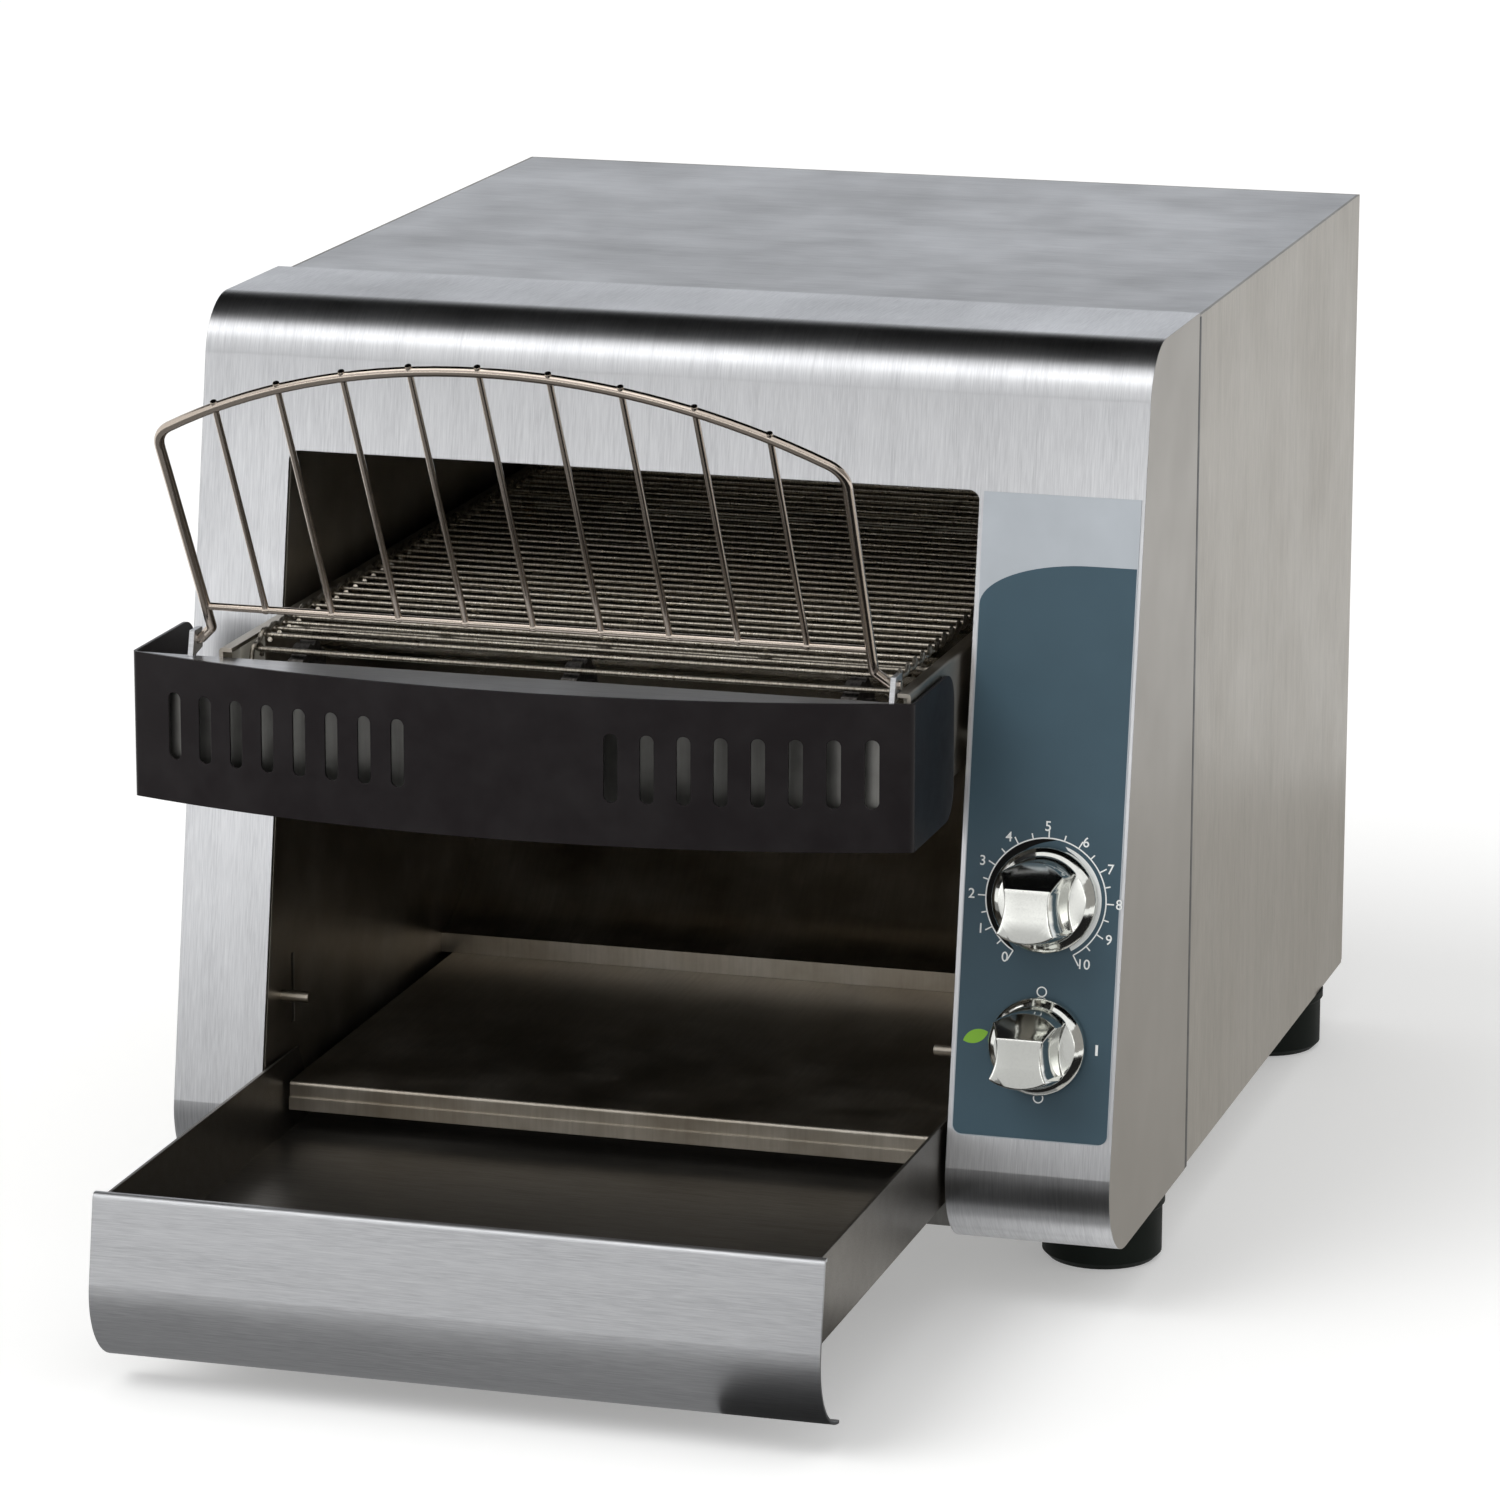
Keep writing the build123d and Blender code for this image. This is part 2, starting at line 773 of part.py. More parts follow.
def make_rail(sign):
    """Conveyor side rail with a curled top edge, shaft holes and tube holes."""
    near = chamber_x + sign * rail_inner
    far = near + sign * rail_sheet
    lip_x = near - sign * rail_curl
    rail = block(near, far, rail_front_y, rail_back_y, rail_bottom_z, rail_top_z)
    rail += block(lip_x, near, rail_front_y, rail_back_y, rail_top_z - rail_sheet, rail_top_z)
    top_edges = rail.edges().filter_by(Axis.Y).group_by(Axis.Z)[-1].sort_by(Axis.X)
    outer_edge = top_edges[-1] if sign > 0 else top_edges[0]
    rail = fillet(outer_edge, rail_sheet * 0.9)
    bottom = rail.edges().filter_by(Axis.X).group_by(Axis.Z)[0]
    rail = fillet(bottom, rail_corner)
    reach = 2 * rail_sheet
    front_hole = front_shaft_radius + shaft_hole_gap
    drive_hole = drive_shaft_radius + bush_wall
    rail -= rod_x(near - sign * reach, far + sign * reach, front_shaft_y, shaft_z, front_hole)
    rail -= rod_x(near - sign * reach, far + sign * reach, drive_shaft_y, shaft_z, drive_hole)
    for y, z in tube_places()[1]:
        rail -= rod_x(near - sign * reach, far + sign * reach, y, z, tube_radius + tube_hole_gap)
    return rail


def make_rail_spacers():
    """Spacer bushes between the chamber walls and the rails."""
    pieces = []
    for sign, wall_x in ((-1, chamber_left), (1, chamber_right)):
        rail_x = chamber_x + sign * (rail_inner + rail_sheet)
        for y in (*spacer_y, rail_back_y - rail_corner - bush_flange):
            pieces.append(rod_x(rail_x, wall_x, y, rail_bottom_z + spacer_rise, spacer_radius))
    return Compound(children=pieces)


def make_front_bearings():
    """Bearing blocks on the rails at the belt's nose."""
    pieces = []
    y0 = front_shaft_y - bearing_half
    y1 = front_shaft_y + bearing_half
    for sign in (-1, 1):
        near = chamber_x + sign * rail_inner
        inner_x = near - sign * rail_curl
        body = block(near, inner_x, y0, y1, shaft_z - bearing_drop, rail_top_z - rail_sheet)
        bore = rod_x(near + sign, inner_x - sign, front_shaft_y, shaft_z, front_shaft_radius + bore_run)
        pieces.append(body - bore)
    return Compound(children=pieces)


def make_drive_bearings():
    """Flanged bronze bushes of the drive shaft in the rails."""
    pieces = []
    outer = drive_shaft_radius + bush_wall
    for sign in (-1, 1):
        near = chamber_x + sign * rail_inner
        far = near + sign * rail_sheet
        face = near - sign * bush_flange
        bush = rod_x(near, far, drive_shaft_y, shaft_z, outer)
        bush += rod_x(near, face, drive_shaft_y, shaft_z, outer + bush_flange)
        bush -= rod_x(face - sign, far + sign, drive_shaft_y, shaft_z, drive_shaft_radius + bore_run)
        pieces.append(bush)
    return Compound(children=pieces)


def make_wheel(x, y, bore):
    """Toothed belt wheel: shallow notches between rounded teeth, and a hub collar each side."""
    tip = wheel_pitch_radius - belt_wire - wheel_run
    wheel = rod_x(x - wheel_width / 2, x + wheel_width / 2, y, shaft_z, tip)
    notch = belt_wire + wheel_notch + belt_wire
    for tooth in range(wheel_teeth):
        angle = 2 * pi * (tooth + 0.5) / wheel_teeth
        notch_y = y + (tip + notch - wheel_notch) * cos(angle)
        notch_z = shaft_z + (tip + notch - wheel_notch) * sin(angle)
        wheel -= rod_x(x - wheel_width, x + wheel_width, notch_y, notch_z, notch)
    wheel += rod_x(x - wheel_width, x + wheel_width, y, shaft_z, bore + wheel_hub)
    return wheel - rod_x(x - 2 * wheel_width, x + 2 * wheel_width, y, shaft_z, bore)


def wheel_xs():
    """X of the three wheels on each shaft."""
    return [chamber_x + i * wheel_spacing for i in (-1, 0, 1)]


def make_front_shaft():
    """Idler shaft at the belt's nose, just short of the rails' outer faces."""
    reach = rail_inner + rail_sheet - tray_float
    return rod_x(chamber_x - reach, chamber_x + reach, front_shaft_y, shaft_z, front_shaft_radius)


def make_front_wheels():
    """Belt wheels on the idler shaft."""
    return Compound(children=[make_wheel(x, front_shaft_y, front_shaft_radius) for x in wheel_xs()])


def make_drive_shaft():
    """Driven shaft, which runs on into the control compartment."""
    left = chamber_x - rail_inner - rail_sheet - hook_run
    return rod_x(left, chain_x + chain_tail, drive_shaft_y, shaft_z, drive_shaft_radius)


def make_drive_wheels():
    """Belt wheels on the driven shaft."""
    return Compound(children=[make_wheel(x, drive_shaft_y, drive_shaft_radius) for x in wheel_xs()])


def belt_points():
    """(y, z) of every belt rod round the loop, one pitch apart."""
    points = []
    for shaft_y, along in ((front_shaft_y, 1), (drive_shaft_y, -1)):
        for i in range(belt_links):
            points.append((shaft_y + along * i * belt_pitch, shaft_z + along * wheel_pitch_radius))
        far_y = shaft_y + along * belt_straight
        for i in range(wheel_teeth // 2):
            turn = 2 * pi * i / wheel_teeth
            side = along * wheel_pitch_radius
            points.append((far_y + side * sin(turn), shaft_z + side * cos(turn)))
    return points


def make_strand():
    """One belt rod in its own plane: a straight wire with a hook at each end."""
    reach = belt_width / 2
    inward = reach - 3 * belt_wire * 2
    hook = belt_pitch - 2 * belt_wire - hook_run
    line = Polyline((-inward, hook), (-reach, hook), (-reach, 0), (reach, 0), (reach, hook), (inward, hook))
    section = Plane(origin=line @ 0, z_dir=line % 0) * RegularPolygon(belt_wire, 6)
    return sweep(section, path=line, transition=Transition.RIGHT)


def place_rods(places):
    """Belt rods at these places round the loop: each one's hooks point along the loop at the next rod."""
    strand = make_strand()
    points = belt_points()
    rods = []
    for i in places:
        y, z = points[i]
        next_y, next_z = points[(i + 1) % len(points)]
        turn = degrees(atan2(next_z - z, next_y - y))
        rods.append(Pos(chamber_x, y, z) * Rot(turn, 0, 0) * strand)
    return Compound(children=rods)


def make_wire_belt():
    """Hooked rods of the belt, up to the one that closes it."""
    return place_rods([i for i in range(len(belt_points())) if i != splice_place])


def make_splice_rod():
    """Rod that closes the belt into an endless loop and is drawn out to take it off."""
    return place_rods([splice_place])


def make_belt_slides():
    """Three wires under the belt's top run on two cross bars."""
    z = belt_top_z - belt_wire - tray_float - slide_wire
    y0 = front_shaft_y + slide_end_gap
    y1 = drive_shaft_y - slide_end_gap
    slides = rod_y(chamber_x, y0, y1, z, slide_wire)
    for side in (-1, 1):
        slides += rod_y(chamber_x + side * slide_spacing, y0, y1, z, slide_wire)
    bar_drop_z = z - slide_wire - slide_bar_wire / 2
    for y in (y0 + slide_bar_inset, y1 - slide_bar_inset):
        slides += rod_x(chamber_x - rail_inner, chamber_x + rail_inner, y, bar_drop_z, slide_bar_wire)
    return slides


# ---------------------------------------------------------------- front of the conveyor

def guard_wire():
    """Plan line of the guard's outer face, from one flange's back edge round to the other's."""
    corner_l = (guard_left, guard_corner_y)
    corner_r = (guard_right, guard_corner_y)
    left = Line((guard_left, guard_corner_y + guard_left_flange), corner_l)
    bow = ThreePointArc(corner_l, (guard_x, guard_corner_y - guard_bow), corner_r)
    right = Line(corner_r, (guard_right, guard_corner_y + guard_right_flange))
    wire = Wire([left.edge(), bow.edge(), right.edge()])
    corners = [v for v in wire.vertices() if v.Y < guard_corner_y + 1]
    return wire.fillet_2d(guard_corner, corners)


def guard_slot_xs():
    """X of every slot in the guard."""
    centre = guard_x + slot_shift
    offsets = [slot_first + i * slot_pitch for i in range(slot_count)]
    return [centre - o for o in offsets] + [centre + o for o in offsets]


def make_bowed_guard():
    """Black sheet guard with two groups of upright slots and rounded flange ends."""
    plan = make_face(offset(guard_wire(), amount=guard_sheet, side=Side.LEFT))
    guard = Pos(0, 0, guard_bottom_z) * extrude(plan, amount=guard_top_z - guard_bottom_z)
    y0 = guard_corner_y - 2 * guard_bow
    y1 = guard_corner_y + guard_corner
    for x in guard_slot_xs():
        guard -= stadium_cut_y(x, slot_centre_z, slot_width, slot_height, y0, y1)
    ends = [e for e in guard.edges().filter_by(Axis.X) if e.center().Y > y1]
    return fillet(ends, guard_flange_corner)


def make_front_bar():
    """Stainless bar across the nose: a top that fills the guard's bow and a straight web."""
    inside = guard_wire().offset_2d(guard_sheet + bar_gap, side=Side.LEFT, closed=False)
    ends = Line(inside @ 0, inside @ 1)
    plan = make_face([*inside.edges(), ends.edge()])
    reach = guard_right - guard_left
    top_plan = plan & Pos(guard_x, bar_back_y - reach / 2) * Rectangle(2 * reach, reach)
    web_plan = plan & Pos(guard_x, bar_back_y - bar_sheet / 2) * Rectangle(2 * reach, bar_sheet)
    top = Pos(0, 0, bar_z - bar_sheet) * extrude(top_plan, amount=bar_sheet)
    web = Pos(0, 0, bar_z - bar_drop) * extrude(web_plan, amount=bar_drop)
    return top + web


# ---------------------------------------------------------------- wire rack

def rack_plane():
    """Plane of the rack at rest: X across, Y up the leaning wires."""
    lean = radians(rack_lean)
    up = (0, -sin(lean), cos(lean))
    normal = Vector(1, 0, 0).cross(Vector(*up))
    return Plane(origin=(rack_x, rack_pivot_y, rack_pivot_z), x_dir=(1, 0, 0), z_dir=normal)


def rack_arch_s(x):
    """Height up the rack of the top arch at x from its middle."""
    top_half = rack_half + rack_splay
    rise = rack_apex_s - rack_corner_s
    radius = (top_half ** 2 + rise ** 2) / (2 * rise)
    return rack_apex_s - radius + (radius ** 2 - x ** 2) ** 0.5


def rack_frame_wire():
    """Centre line of the bent frame wire, from one pivot leg to the other."""
    top = rack_half + rack_splay
    legs = rack_half + rack_leg
    stub = legs - ear_sheet - 2 * ear_end_gap
    edges = [
        Line((-legs, 0), (-stub, 0)).edge(),
        Line((-stub, 0), (-rack_half, rack_leg_rise)).edge(),
        Line((-rack_half, rack_leg_rise), (-top, rack_corner_s)).edge(),
        ThreePointArc((-top, rack_corner_s), (0, rack_apex_s), (top, rack_corner_s)).edge(),
        Line((top, rack_corner_s), (rack_half, rack_leg_rise)).edge(),
        Line((rack_half, rack_leg_rise), (stub, 0)).edge(),
        Line((stub, 0), (legs, 0)).edge(),
    ]
    wire = Wire(edges)
    high = [v for v in wire.vertices() if v.Y > rack_corner_s / 2]
    wire = wire.fillet_2d(rack_corner, high)
    low = [v for v in wire.vertices() if v.Y < rack_leg_rise + 1 and abs(v.X) < legs - ear_end_gap]
    return wire.fillet_2d(rack_wire, low)


def make_wire_rack():
    """Arched frame wire, a cross wire and the upright wires, welded together."""
    path = rack_frame_wire()
    rack = sweep(Plane(origin=path @ 0, z_dir=path % 0) * Circle(rack_wire), path=path)
    cross = rack_half - rack_cross_wire / 2
    rack += Pos(-cross, rack_cross_s, 0) * Rot(0, 90, 0) * post(rack_cross_wire, 2 * cross)
    foot_s = rack_cross_s - rack_bar_wire
    for i in range(rack_bars):
        x = (i - (rack_bars - 1) / 2) * rack_bar_pitch
        top_s = rack_arch_s(x) + rack_wire + rack_bar_rise
        rack += Pos(x, foot_s, 0) * Rot(-90, 0, 0) * post(rack_bar_wire, top_s - foot_s)
    return rack_plane() * rack


def make_rack_ears():
    """Two ears on the front bar with the holes that the rack's legs turn in."""
    ears = []
    back_y = rack_pivot_y + ear_half
    points = [
        (bar_back_y - ear_foot, bar_z),
        (bar_back_y, bar_z),
        (back_y, rack_pivot_z - ear_half),
        (back_y, rack_pivot_z + ear_height),
        (rack_pivot_y - ear_half, rack_pivot_z + ear_height),
    ]
    for sign in (-1, 1):
        near = rack_x + sign * (rack_half + rack_leg - ear_sheet - ear_end_gap)
        ear = prism_x(points, near, near + sign * ear_sheet)
        hole = rack_wire + rack_run
        ears.append(ear - rod_x(near - sign, near + 2 * sign * ear_sheet, rack_pivot_y, rack_pivot_z, hole))
    return Compound(children=ears)


# ---------------------------------------------------------------- tray

def tray_face_y(z):
    """Outer face of the tray's front panel, parallel to the cover's face."""
    return tray_front_y - (tray_top_z - z) * face_slope


def make_tray_pan():
    """Open tray: a floor, two side walls and a low back wall."""
    x0 = chamber_x - tray_half
    x1 = chamber_x + tray_half
    top = tray_top_z - tray_sheet - tray_face_gap
    front = tray_sheet / cos(radians(face_tilt)) + tray_face_gap
    side = [
        (tray_face_y(tray_floor_z) + front, tray_floor_z),
        (tray_back_y, tray_floor_z),
        (tray_back_y, tray_floor_z + tray_rear_wall),
        (tray_back_y - tray_low_run, tray_floor_z + tray_rear_wall),
        (tray_back_y - tray_low_run - tray_rear_notch, top),
        (tray_face_y(top) + front, top),
    ]
    pan = prism_x(side, x0, x1)
    inside_x = (x0 + tray_sheet, x1 - tray_sheet)
    floor_top = tray_floor_z + tray_sheet
    pan -= block(*inside_x, tray_front_y - tray_depth, tray_back_y - tray_sheet, floor_top, tray_top_z)
    return pan - block(*inside_x, tray_front_y, tray_back_y + 1, tray_floor_z + tray_back_wall, tray_top_z)


def tray_front_line():
    """(y, z) line of the tray's front panel: top hem, slanted face and deep curl."""
    tilt = radians(face_tilt)
    top = (tray_front_y, tray_top_z)
    fold = (tray_face_y(tray_floor_z), tray_floor_z)
    centre_y = fold[0] + cos(tilt) * tray_curl
    centre_z = fold[1] - sin(tilt) * tray_curl
    curl = []
    for share in (0.5, 1.0):
        angle = pi + tilt + share * radians(tray_curl_turn)
        curl.append((centre_y + cos(angle) * tray_curl, centre_z + sin(angle) * tray_curl))
    hem = Line((tray_front_y + tray_hem, tray_top_z), top)
    face = Line(top, fold)
    under = ThreePointArc(fold, *curl)
    return Wire([hem.edge(), face.edge(), under.edge()])


def make_tray_front():
    """Front panel with a hem along its top and a deep curl under the tray."""
    x0 = chamber_x - tray_half - tray_overhang
    x1 = chamber_x + tray_half + tray_overhang
    wire = tray_front_line()
    corner = [v for v in wire.vertices() if abs(v.X - tray_front_y) < 0.1]
    wire = wire.fillet_2d(tray_edge, corner)
    section = make_face(offset(wire, amount=tray_sheet, side=Side.LEFT))
    return Pos(x0, 0, 0) * extrude(Plane.YZ * section, amount=x1 - x0)


def make_tray_runners():
    """Two folded runners that the tray slides on."""
    runners = []
    shelf_z = tray_floor_z - tray_float
    y0 = curl_lip_y + runner_inset
    y1 = tray_back_y + tray_travel + runner_tail
    for sign, wall_x in ((-1, chamber_left), (1, chamber_right)):
        lip_x = wall_x - sign * runner_width
        runner = block(lip_x, wall_x, y0, y1, shelf_z - sheet, shelf_z)
        runner += block(wall_x - sign * sheet, wall_x, y0, y1, sheet, shelf_z)
        runners.append(runner + block(lip_x, wall_x, y0, y1, sheet, 2 * sheet))
    return Compound(children=runners)


# ---------------------------------------------------------------- controls

def make_control_plate():
    """Thin printed plate on the slanted face, with holes for the two bushings."""
    middle_z = (plate_bottom_z + plate_top_z) / 2
    middle_x = (plate_left + plate_right) / 2
    height = (plate_top_z - plate_bottom_z) / cos(radians(face_tilt))
    outline = Rectangle(plate_right - plate_left, height)
    corners = outline.vertices().group_by(Axis.Y)[0].sort_by(Axis.X)
    outline = fillet(corners[-1], plate_corner)
    corner = outline.vertices().group_by(Axis.Y)[0].sort_by(Axis.X)[0]
    outline = chamfer(corner, plate_chamfer)
    plate = extrude(on_face(middle_x, middle_z) * outline, amount=plate_thickness)
    for z in (speed_knob_z, power_knob_z):
        plate -= extrude(on_face(knob_x, z) * Circle(bushing_radius), amount=2 * sheet, both=True)
    return plate


def make_knob(z):
    """Cast knob: a round skirt, a tapering body and two scoops that leave a grip bar, edges eased."""
    base = knob_gap
    skirt_top = base + knob_skirt
    floor = skirt_top + knob_shoulder
    section = [
        (0, base),
        (knob_radius, base),
        (knob_radius, skirt_top - knob_edge),
        (knob_radius - knob_edge, skirt_top),
        (knob_radius - 2 * knob_edge, floor),
        (knob_top_radius, knob_height),
        (0, knob_height),
    ]
    knob = revolve(Plane.XZ * make_face(Polyline(*section, close=True)), Axis.Z)
    above = Pos(0, 0, floor + knob_height) * Box(8 * knob_radius, 8 * knob_radius, 2 * knob_height)
    for sign in (-1, 1):
        place = Pos(sign * (knob_grip / 2 + knob_scoop), 0, floor) * Rot(0, -sign * knob_scoop_tilt, 0)
        knob -= place * post(knob_scoop, 2 * knob_height) & above
    facet = Box(4 * knob_radius, 2 * knob_facet, 4 * knob_facet)
    knob -= Pos(0, knob_top_radius, knob_height) * Rot(knob_facet_tilt, 0, 0) * facet
    knob = fillet([e for e in knob.edges() if e.bounding_box().min.Z > base + knob_round], knob_round)
    knob -= post(spindle_radius, knob_gap + knob_socket)
    return on_face(knob_x, z).offset(plate_thickness) * knob


def make_spindle(z):
    """Shaft of a control, from inside its body to the knob's socket."""
    inside = sheet + spindle_depth
    length = inside + plate_thickness + knob_gap + spindle_grip
    return on_face(knob_x, z) * post(spindle_radius, length, -inside)


def make_control(body, z):
    """A control's body behind the face, with its bushing through the cover and a spindle bore."""
    length = sheet + plate_thickness + bushing_rise
    control = body + post(bushing_radius - bushing_run, length, -sheet)
    control -= post(spindle_radius + bore_run, bore_depth + length, -sheet - bore_depth)
    return on_face(knob_x, z) * control


def make_speed_control():
    """Potentiometer behind the face: a round can with a bushing through the cover."""
    can = post(control_radius, control_depth, -sheet - control_depth)
    return make_control(can, speed_knob_z)


def make_power_switch():
    """Rotary switch behind the face: a square block with a bushing through the cover."""
    case = Box(switch_size, switch_size, switch_depth)
    return make_control(Pos(0, 0, -sheet - switch_depth / 2) * case, power_knob_z)


def make_speed_board():
    """Motor speed board on stand-offs from the chamber wall."""
    x = liner_right_outer + board_standoff
    face_x = x + board_thickness
    y0 = board_y - board_length / 2
    z0 = board_z - board_height / 2
    board = block(x, face_x, y0, y0 + board_length, z0, z0 + board_height)
    for y in (y0 + board_leg_inset, y0 + board_length - board_leg_inset):
        for z in (z0 + board_leg_inset, z0 + board_height - board_leg_inset):
            board += rod_x(liner_right_outer, x, y, z, board_leg_radius)
    sink_y = board_y - heat_sink_length
    sink_z = board_z - heat_sink_height / 2
    board += block(face_x, face_x + heat_sink_width, sink_y, board_y, sink_z, sink_z + heat_sink_height)
    can_y = board_y + capacitor_shift
    return board + rod_x(face_x, face_x + capacitor_height, can_y, board_z, capacitor_radius)


def make_terminal_block():
    """Mains terminal block on the base, near the cord's gland."""
    x0 = compartment_x - terminal_width / 2
    y = back_inner_y - terminal_back_gap
    top = sheet + terminal_height
    body = block(x0, x0 + terminal_width, y - terminal_depth / 2, y + terminal_depth / 2, sheet, top)
    for step in (-1, 0, 1):
        x = compartment_x + step * terminal_pitch
        body -= rod_z(x, y, top - terminal_well_depth, top + 1, terminal_well)
    return body


def make_cord_gland():
    """Nylon bushing in the back panel, open for the cord."""
    y0 = back_inner_y - gland_tail
    y1 = back_outer_y
    y2 = y1 + gland_flange
    gland = rod_y(compartment_x, y0, y1, gland_z, gland_radius - gland_run)
    gland += rod_y(compartment_x, y1, y2, gland_z, gland_radius + gland_rim)
    return gland - rod_y(compartment_x, y0 - 1, y2 + 1, gland_z, gland_bore)


# ---------------------------------------------------------------- drive

def chain_radius(teeth):
    """Pitch radius of a chain wheel."""
    return chain_pitch / (2 * sin(pi / teeth))


def make_chain_wheel(y, z, teeth, bore):
    """Chain wheel with its teeth cut as notches just inside the roller line."""
    tip = chain_radius(teeth) - roller_radius - chain_run
    plate_half = chain_width / 2 - chain_strap / 2
    hub_half = chain_width / 2 + chain_hub_reach
    wheel = rod_x(chain_x - plate_half, chain_x + plate_half, y, z, tip)
    notch_radius = tip + roller_radius / 2
    for tooth in range(teeth):
        angle = 2 * pi * (tooth + 0.5) / teeth
        notch_y = y + notch_radius * cos(angle)
        notch_z = z + notch_radius * sin(angle)
        wheel -= rod_x(chain_x - hub_half, chain_x + hub_half, notch_y, notch_z, roller_radius)
    wheel += rod_x(chain_x - hub_half, chain_x + hub_half, y, z, bore + chain_hub)
    return wheel - rod_x(chain_x - 2 * hub_half, chain_x + 2 * hub_half, y, z, bore)


def make_driven_wheel():
    """Chain wheel on the drive shaft."""
    return make_chain_wheel(drive_shaft_y, shaft_z, driven_teeth, drive_shaft_radius)


def make_motor_wheel():
    """Chain wheel on the gearmotor's shaft."""
    return make_chain_wheel(motor_y, motor_z, motor_teeth, motor_shaft_radius)


def chain_loop(grow):
    """Plan of the chain loop round both wheels, grown outwards, as a (y, z) face."""
    r1 = chain_radius(driven_teeth) + grow
    r2 = chain_radius(motor_teeth) + grow
    lean = asin((r1 - r2) / motor_drop)
    top = Pos(drive_shaft_y, shaft_z) * Circle(r1)
    low = Pos(motor_y, motor_z) * Circle(r2)
    points = [
        (drive_shaft_y + r1 * cos(lean), shaft_z - r1 * sin(lean)),
        (motor_y + r2 * cos(lean), motor_z - r2 * sin(lean)),
        (motor_y - r2 * cos(lean), motor_z - r2 * sin(lean)),
        (drive_shaft_y - r1 * cos(lean), shaft_z - r1 * sin(lean)),
    ]
    return top + low + make_face(Polyline(*points, close=True))


def make_drive_chain():
    """Roller chain as its two strap lines joined by the roller line."""
    straps = chain_loop(chain_plate) - chain_loop(-roller_radius)
    rollers = chain_loop(roller_radius) - chain_loop(-roller_radius)
    x0 = chain_x - chain_width / 2
    chain = Pos(x0, 0, 0) * extrude(Plane.YZ * rollers, amount=chain_width)
    for strap_x in (x0, x0 + chain_width - chain_strap):
        chain += Pos(strap_x, 0, 0) * extrude(Plane.YZ * straps, amount=chain_strap)
    return chain


def make_gearmotor():
    """Gearbox, motor can and output bearing of the belt drive."""
    x1 = gearbox_x + gearbox_length
    y0 = motor_y - gearbox_width / 2
    box = block(gearbox_x, x1, y0, y0 + gearbox_width, gearbox_z, gearbox_z + gearbox_height)
    box = fillet(box.edges().filter_by(Axis.X), gearbox_corner)
    can_z = gearbox_z + gearbox_height - motor_radius
    can = rod_x(x1, x1 + motor_length, motor_y, can_z, motor_radius)
    bore = rod_x(gearbox_x - 1, x1 - bush_wall, motor_y, motor_z, motor_shaft_radius + bore_run)
    return box + can - bore


def make_motor_shaft():
    """Output shaft of the gearmotor, short of the end of its bore."""
    x0 = chain_x - chain_width / 2 - chain_hub_reach
    x1 = gearbox_x + gearbox_length - bush_wall - hook_run
    return rod_x(x0, x1, motor_y, motor_z, motor_shaft_radius)


def make_motor_bracket():
    """Folded bracket from the base pan up to the gearbox."""
    x1 = gearbox_x + gearbox_length
    y0 = motor_y - gearbox_width / 2
    y1 = motor_y + gearbox_width / 2
    shelf_z = gearbox_z - bracket_sheet
    bracket = block(gearbox_x, x1, y0, y1, shelf_z, gearbox_z)
    bracket += block(gearbox_x, x1, y0, y1, sheet, sheet + bracket_sheet)
    for leg_y in (y0, y1 - bracket_sheet):
        bracket += block(gearbox_x, x1, leg_y, leg_y + bracket_sheet, sheet, shelf_z)
    return bracket


def make_fan_frame():
    """Square fan housing with a round duct, a motor seat and four arms."""
    y1 = flange_face_y
    y0 = y1 - fan_depth
    x = compartment_x
    reach = fan_size / 2
    frame = block(x - reach, x + reach, y0, y1, fan_z - reach, fan_z + reach)
    frame -= rod_y(x, y0 - 1, y1 + 1, fan_z, fan_sweep_radius + fan_clearance)
    frame += rod_y(x, y1 - fan_seat, y1, fan_z, fan_hub_radius)
    span = 2 * (fan_sweep_radius + fan_clearance) + fan_clearance
    arm = 2 * fan_pin_radius
    arms = Box(span, fan_seat, arm) + Box(arm, fan_seat, span)
    frame += Pos(x, y1 - fan_seat / 2, fan_z) * arms
    return frame - rod_y(x, y1 - 2 * fan_seat, y1 - fan_end_gap * 2, fan_z, fan_pin_radius + bore_run)


def make_fan_rotor():
    """Hub and twisted blades of the fan, on a short pin."""
    y1 = flange_face_y - fan_seat - fan_end_gap
    y0 = flange_face_y - fan_depth + fan_clearance
    hub = rod_y(compartment_x, y0, y1, fan_z, fan_hub_radius - fan_clearance / 2)
    pin = rod_y(compartment_x, y1, flange_face_y - fan_clearance, fan_z, fan_pin_radius)
    rotor = hub + pin
    inside = fan_hub_radius - fan_seat
    length = fan_sweep_radius + fan_seat - inside
    for i in range(fan_blades):
        turn = Rot(0, 360 * i / fan_blades, 0) * Pos(inside + length / 2, 0, 0)
        blade = turn * Rot(fan_blade_tilt, 0, 0) * Box(length, fan_blade_chord, fan_blade)
        rotor += Pos(compartment_x, (y0 + y1) / 2, fan_z) * blade
    return rotor & (rod_y(compartment_x, y0, y1, fan_z, fan_sweep_radius) + pin)


# ---------------------------------------------------------------- fasteners

def make_back_screws():
    """Pan-head screws that hold the back panel to the side panels' flanges."""
    screws = []
    for x, z in back_screw_places():
        head = rod_y(x, back_outer_y, back_outer_y + screw_head, z, screw_head_radius)
        shank = rod_y(x, flange_face_y - screw_tail, back_outer_y, z, screw_radius)
        screws.append(head + shank)
    return Compound(children=screws)


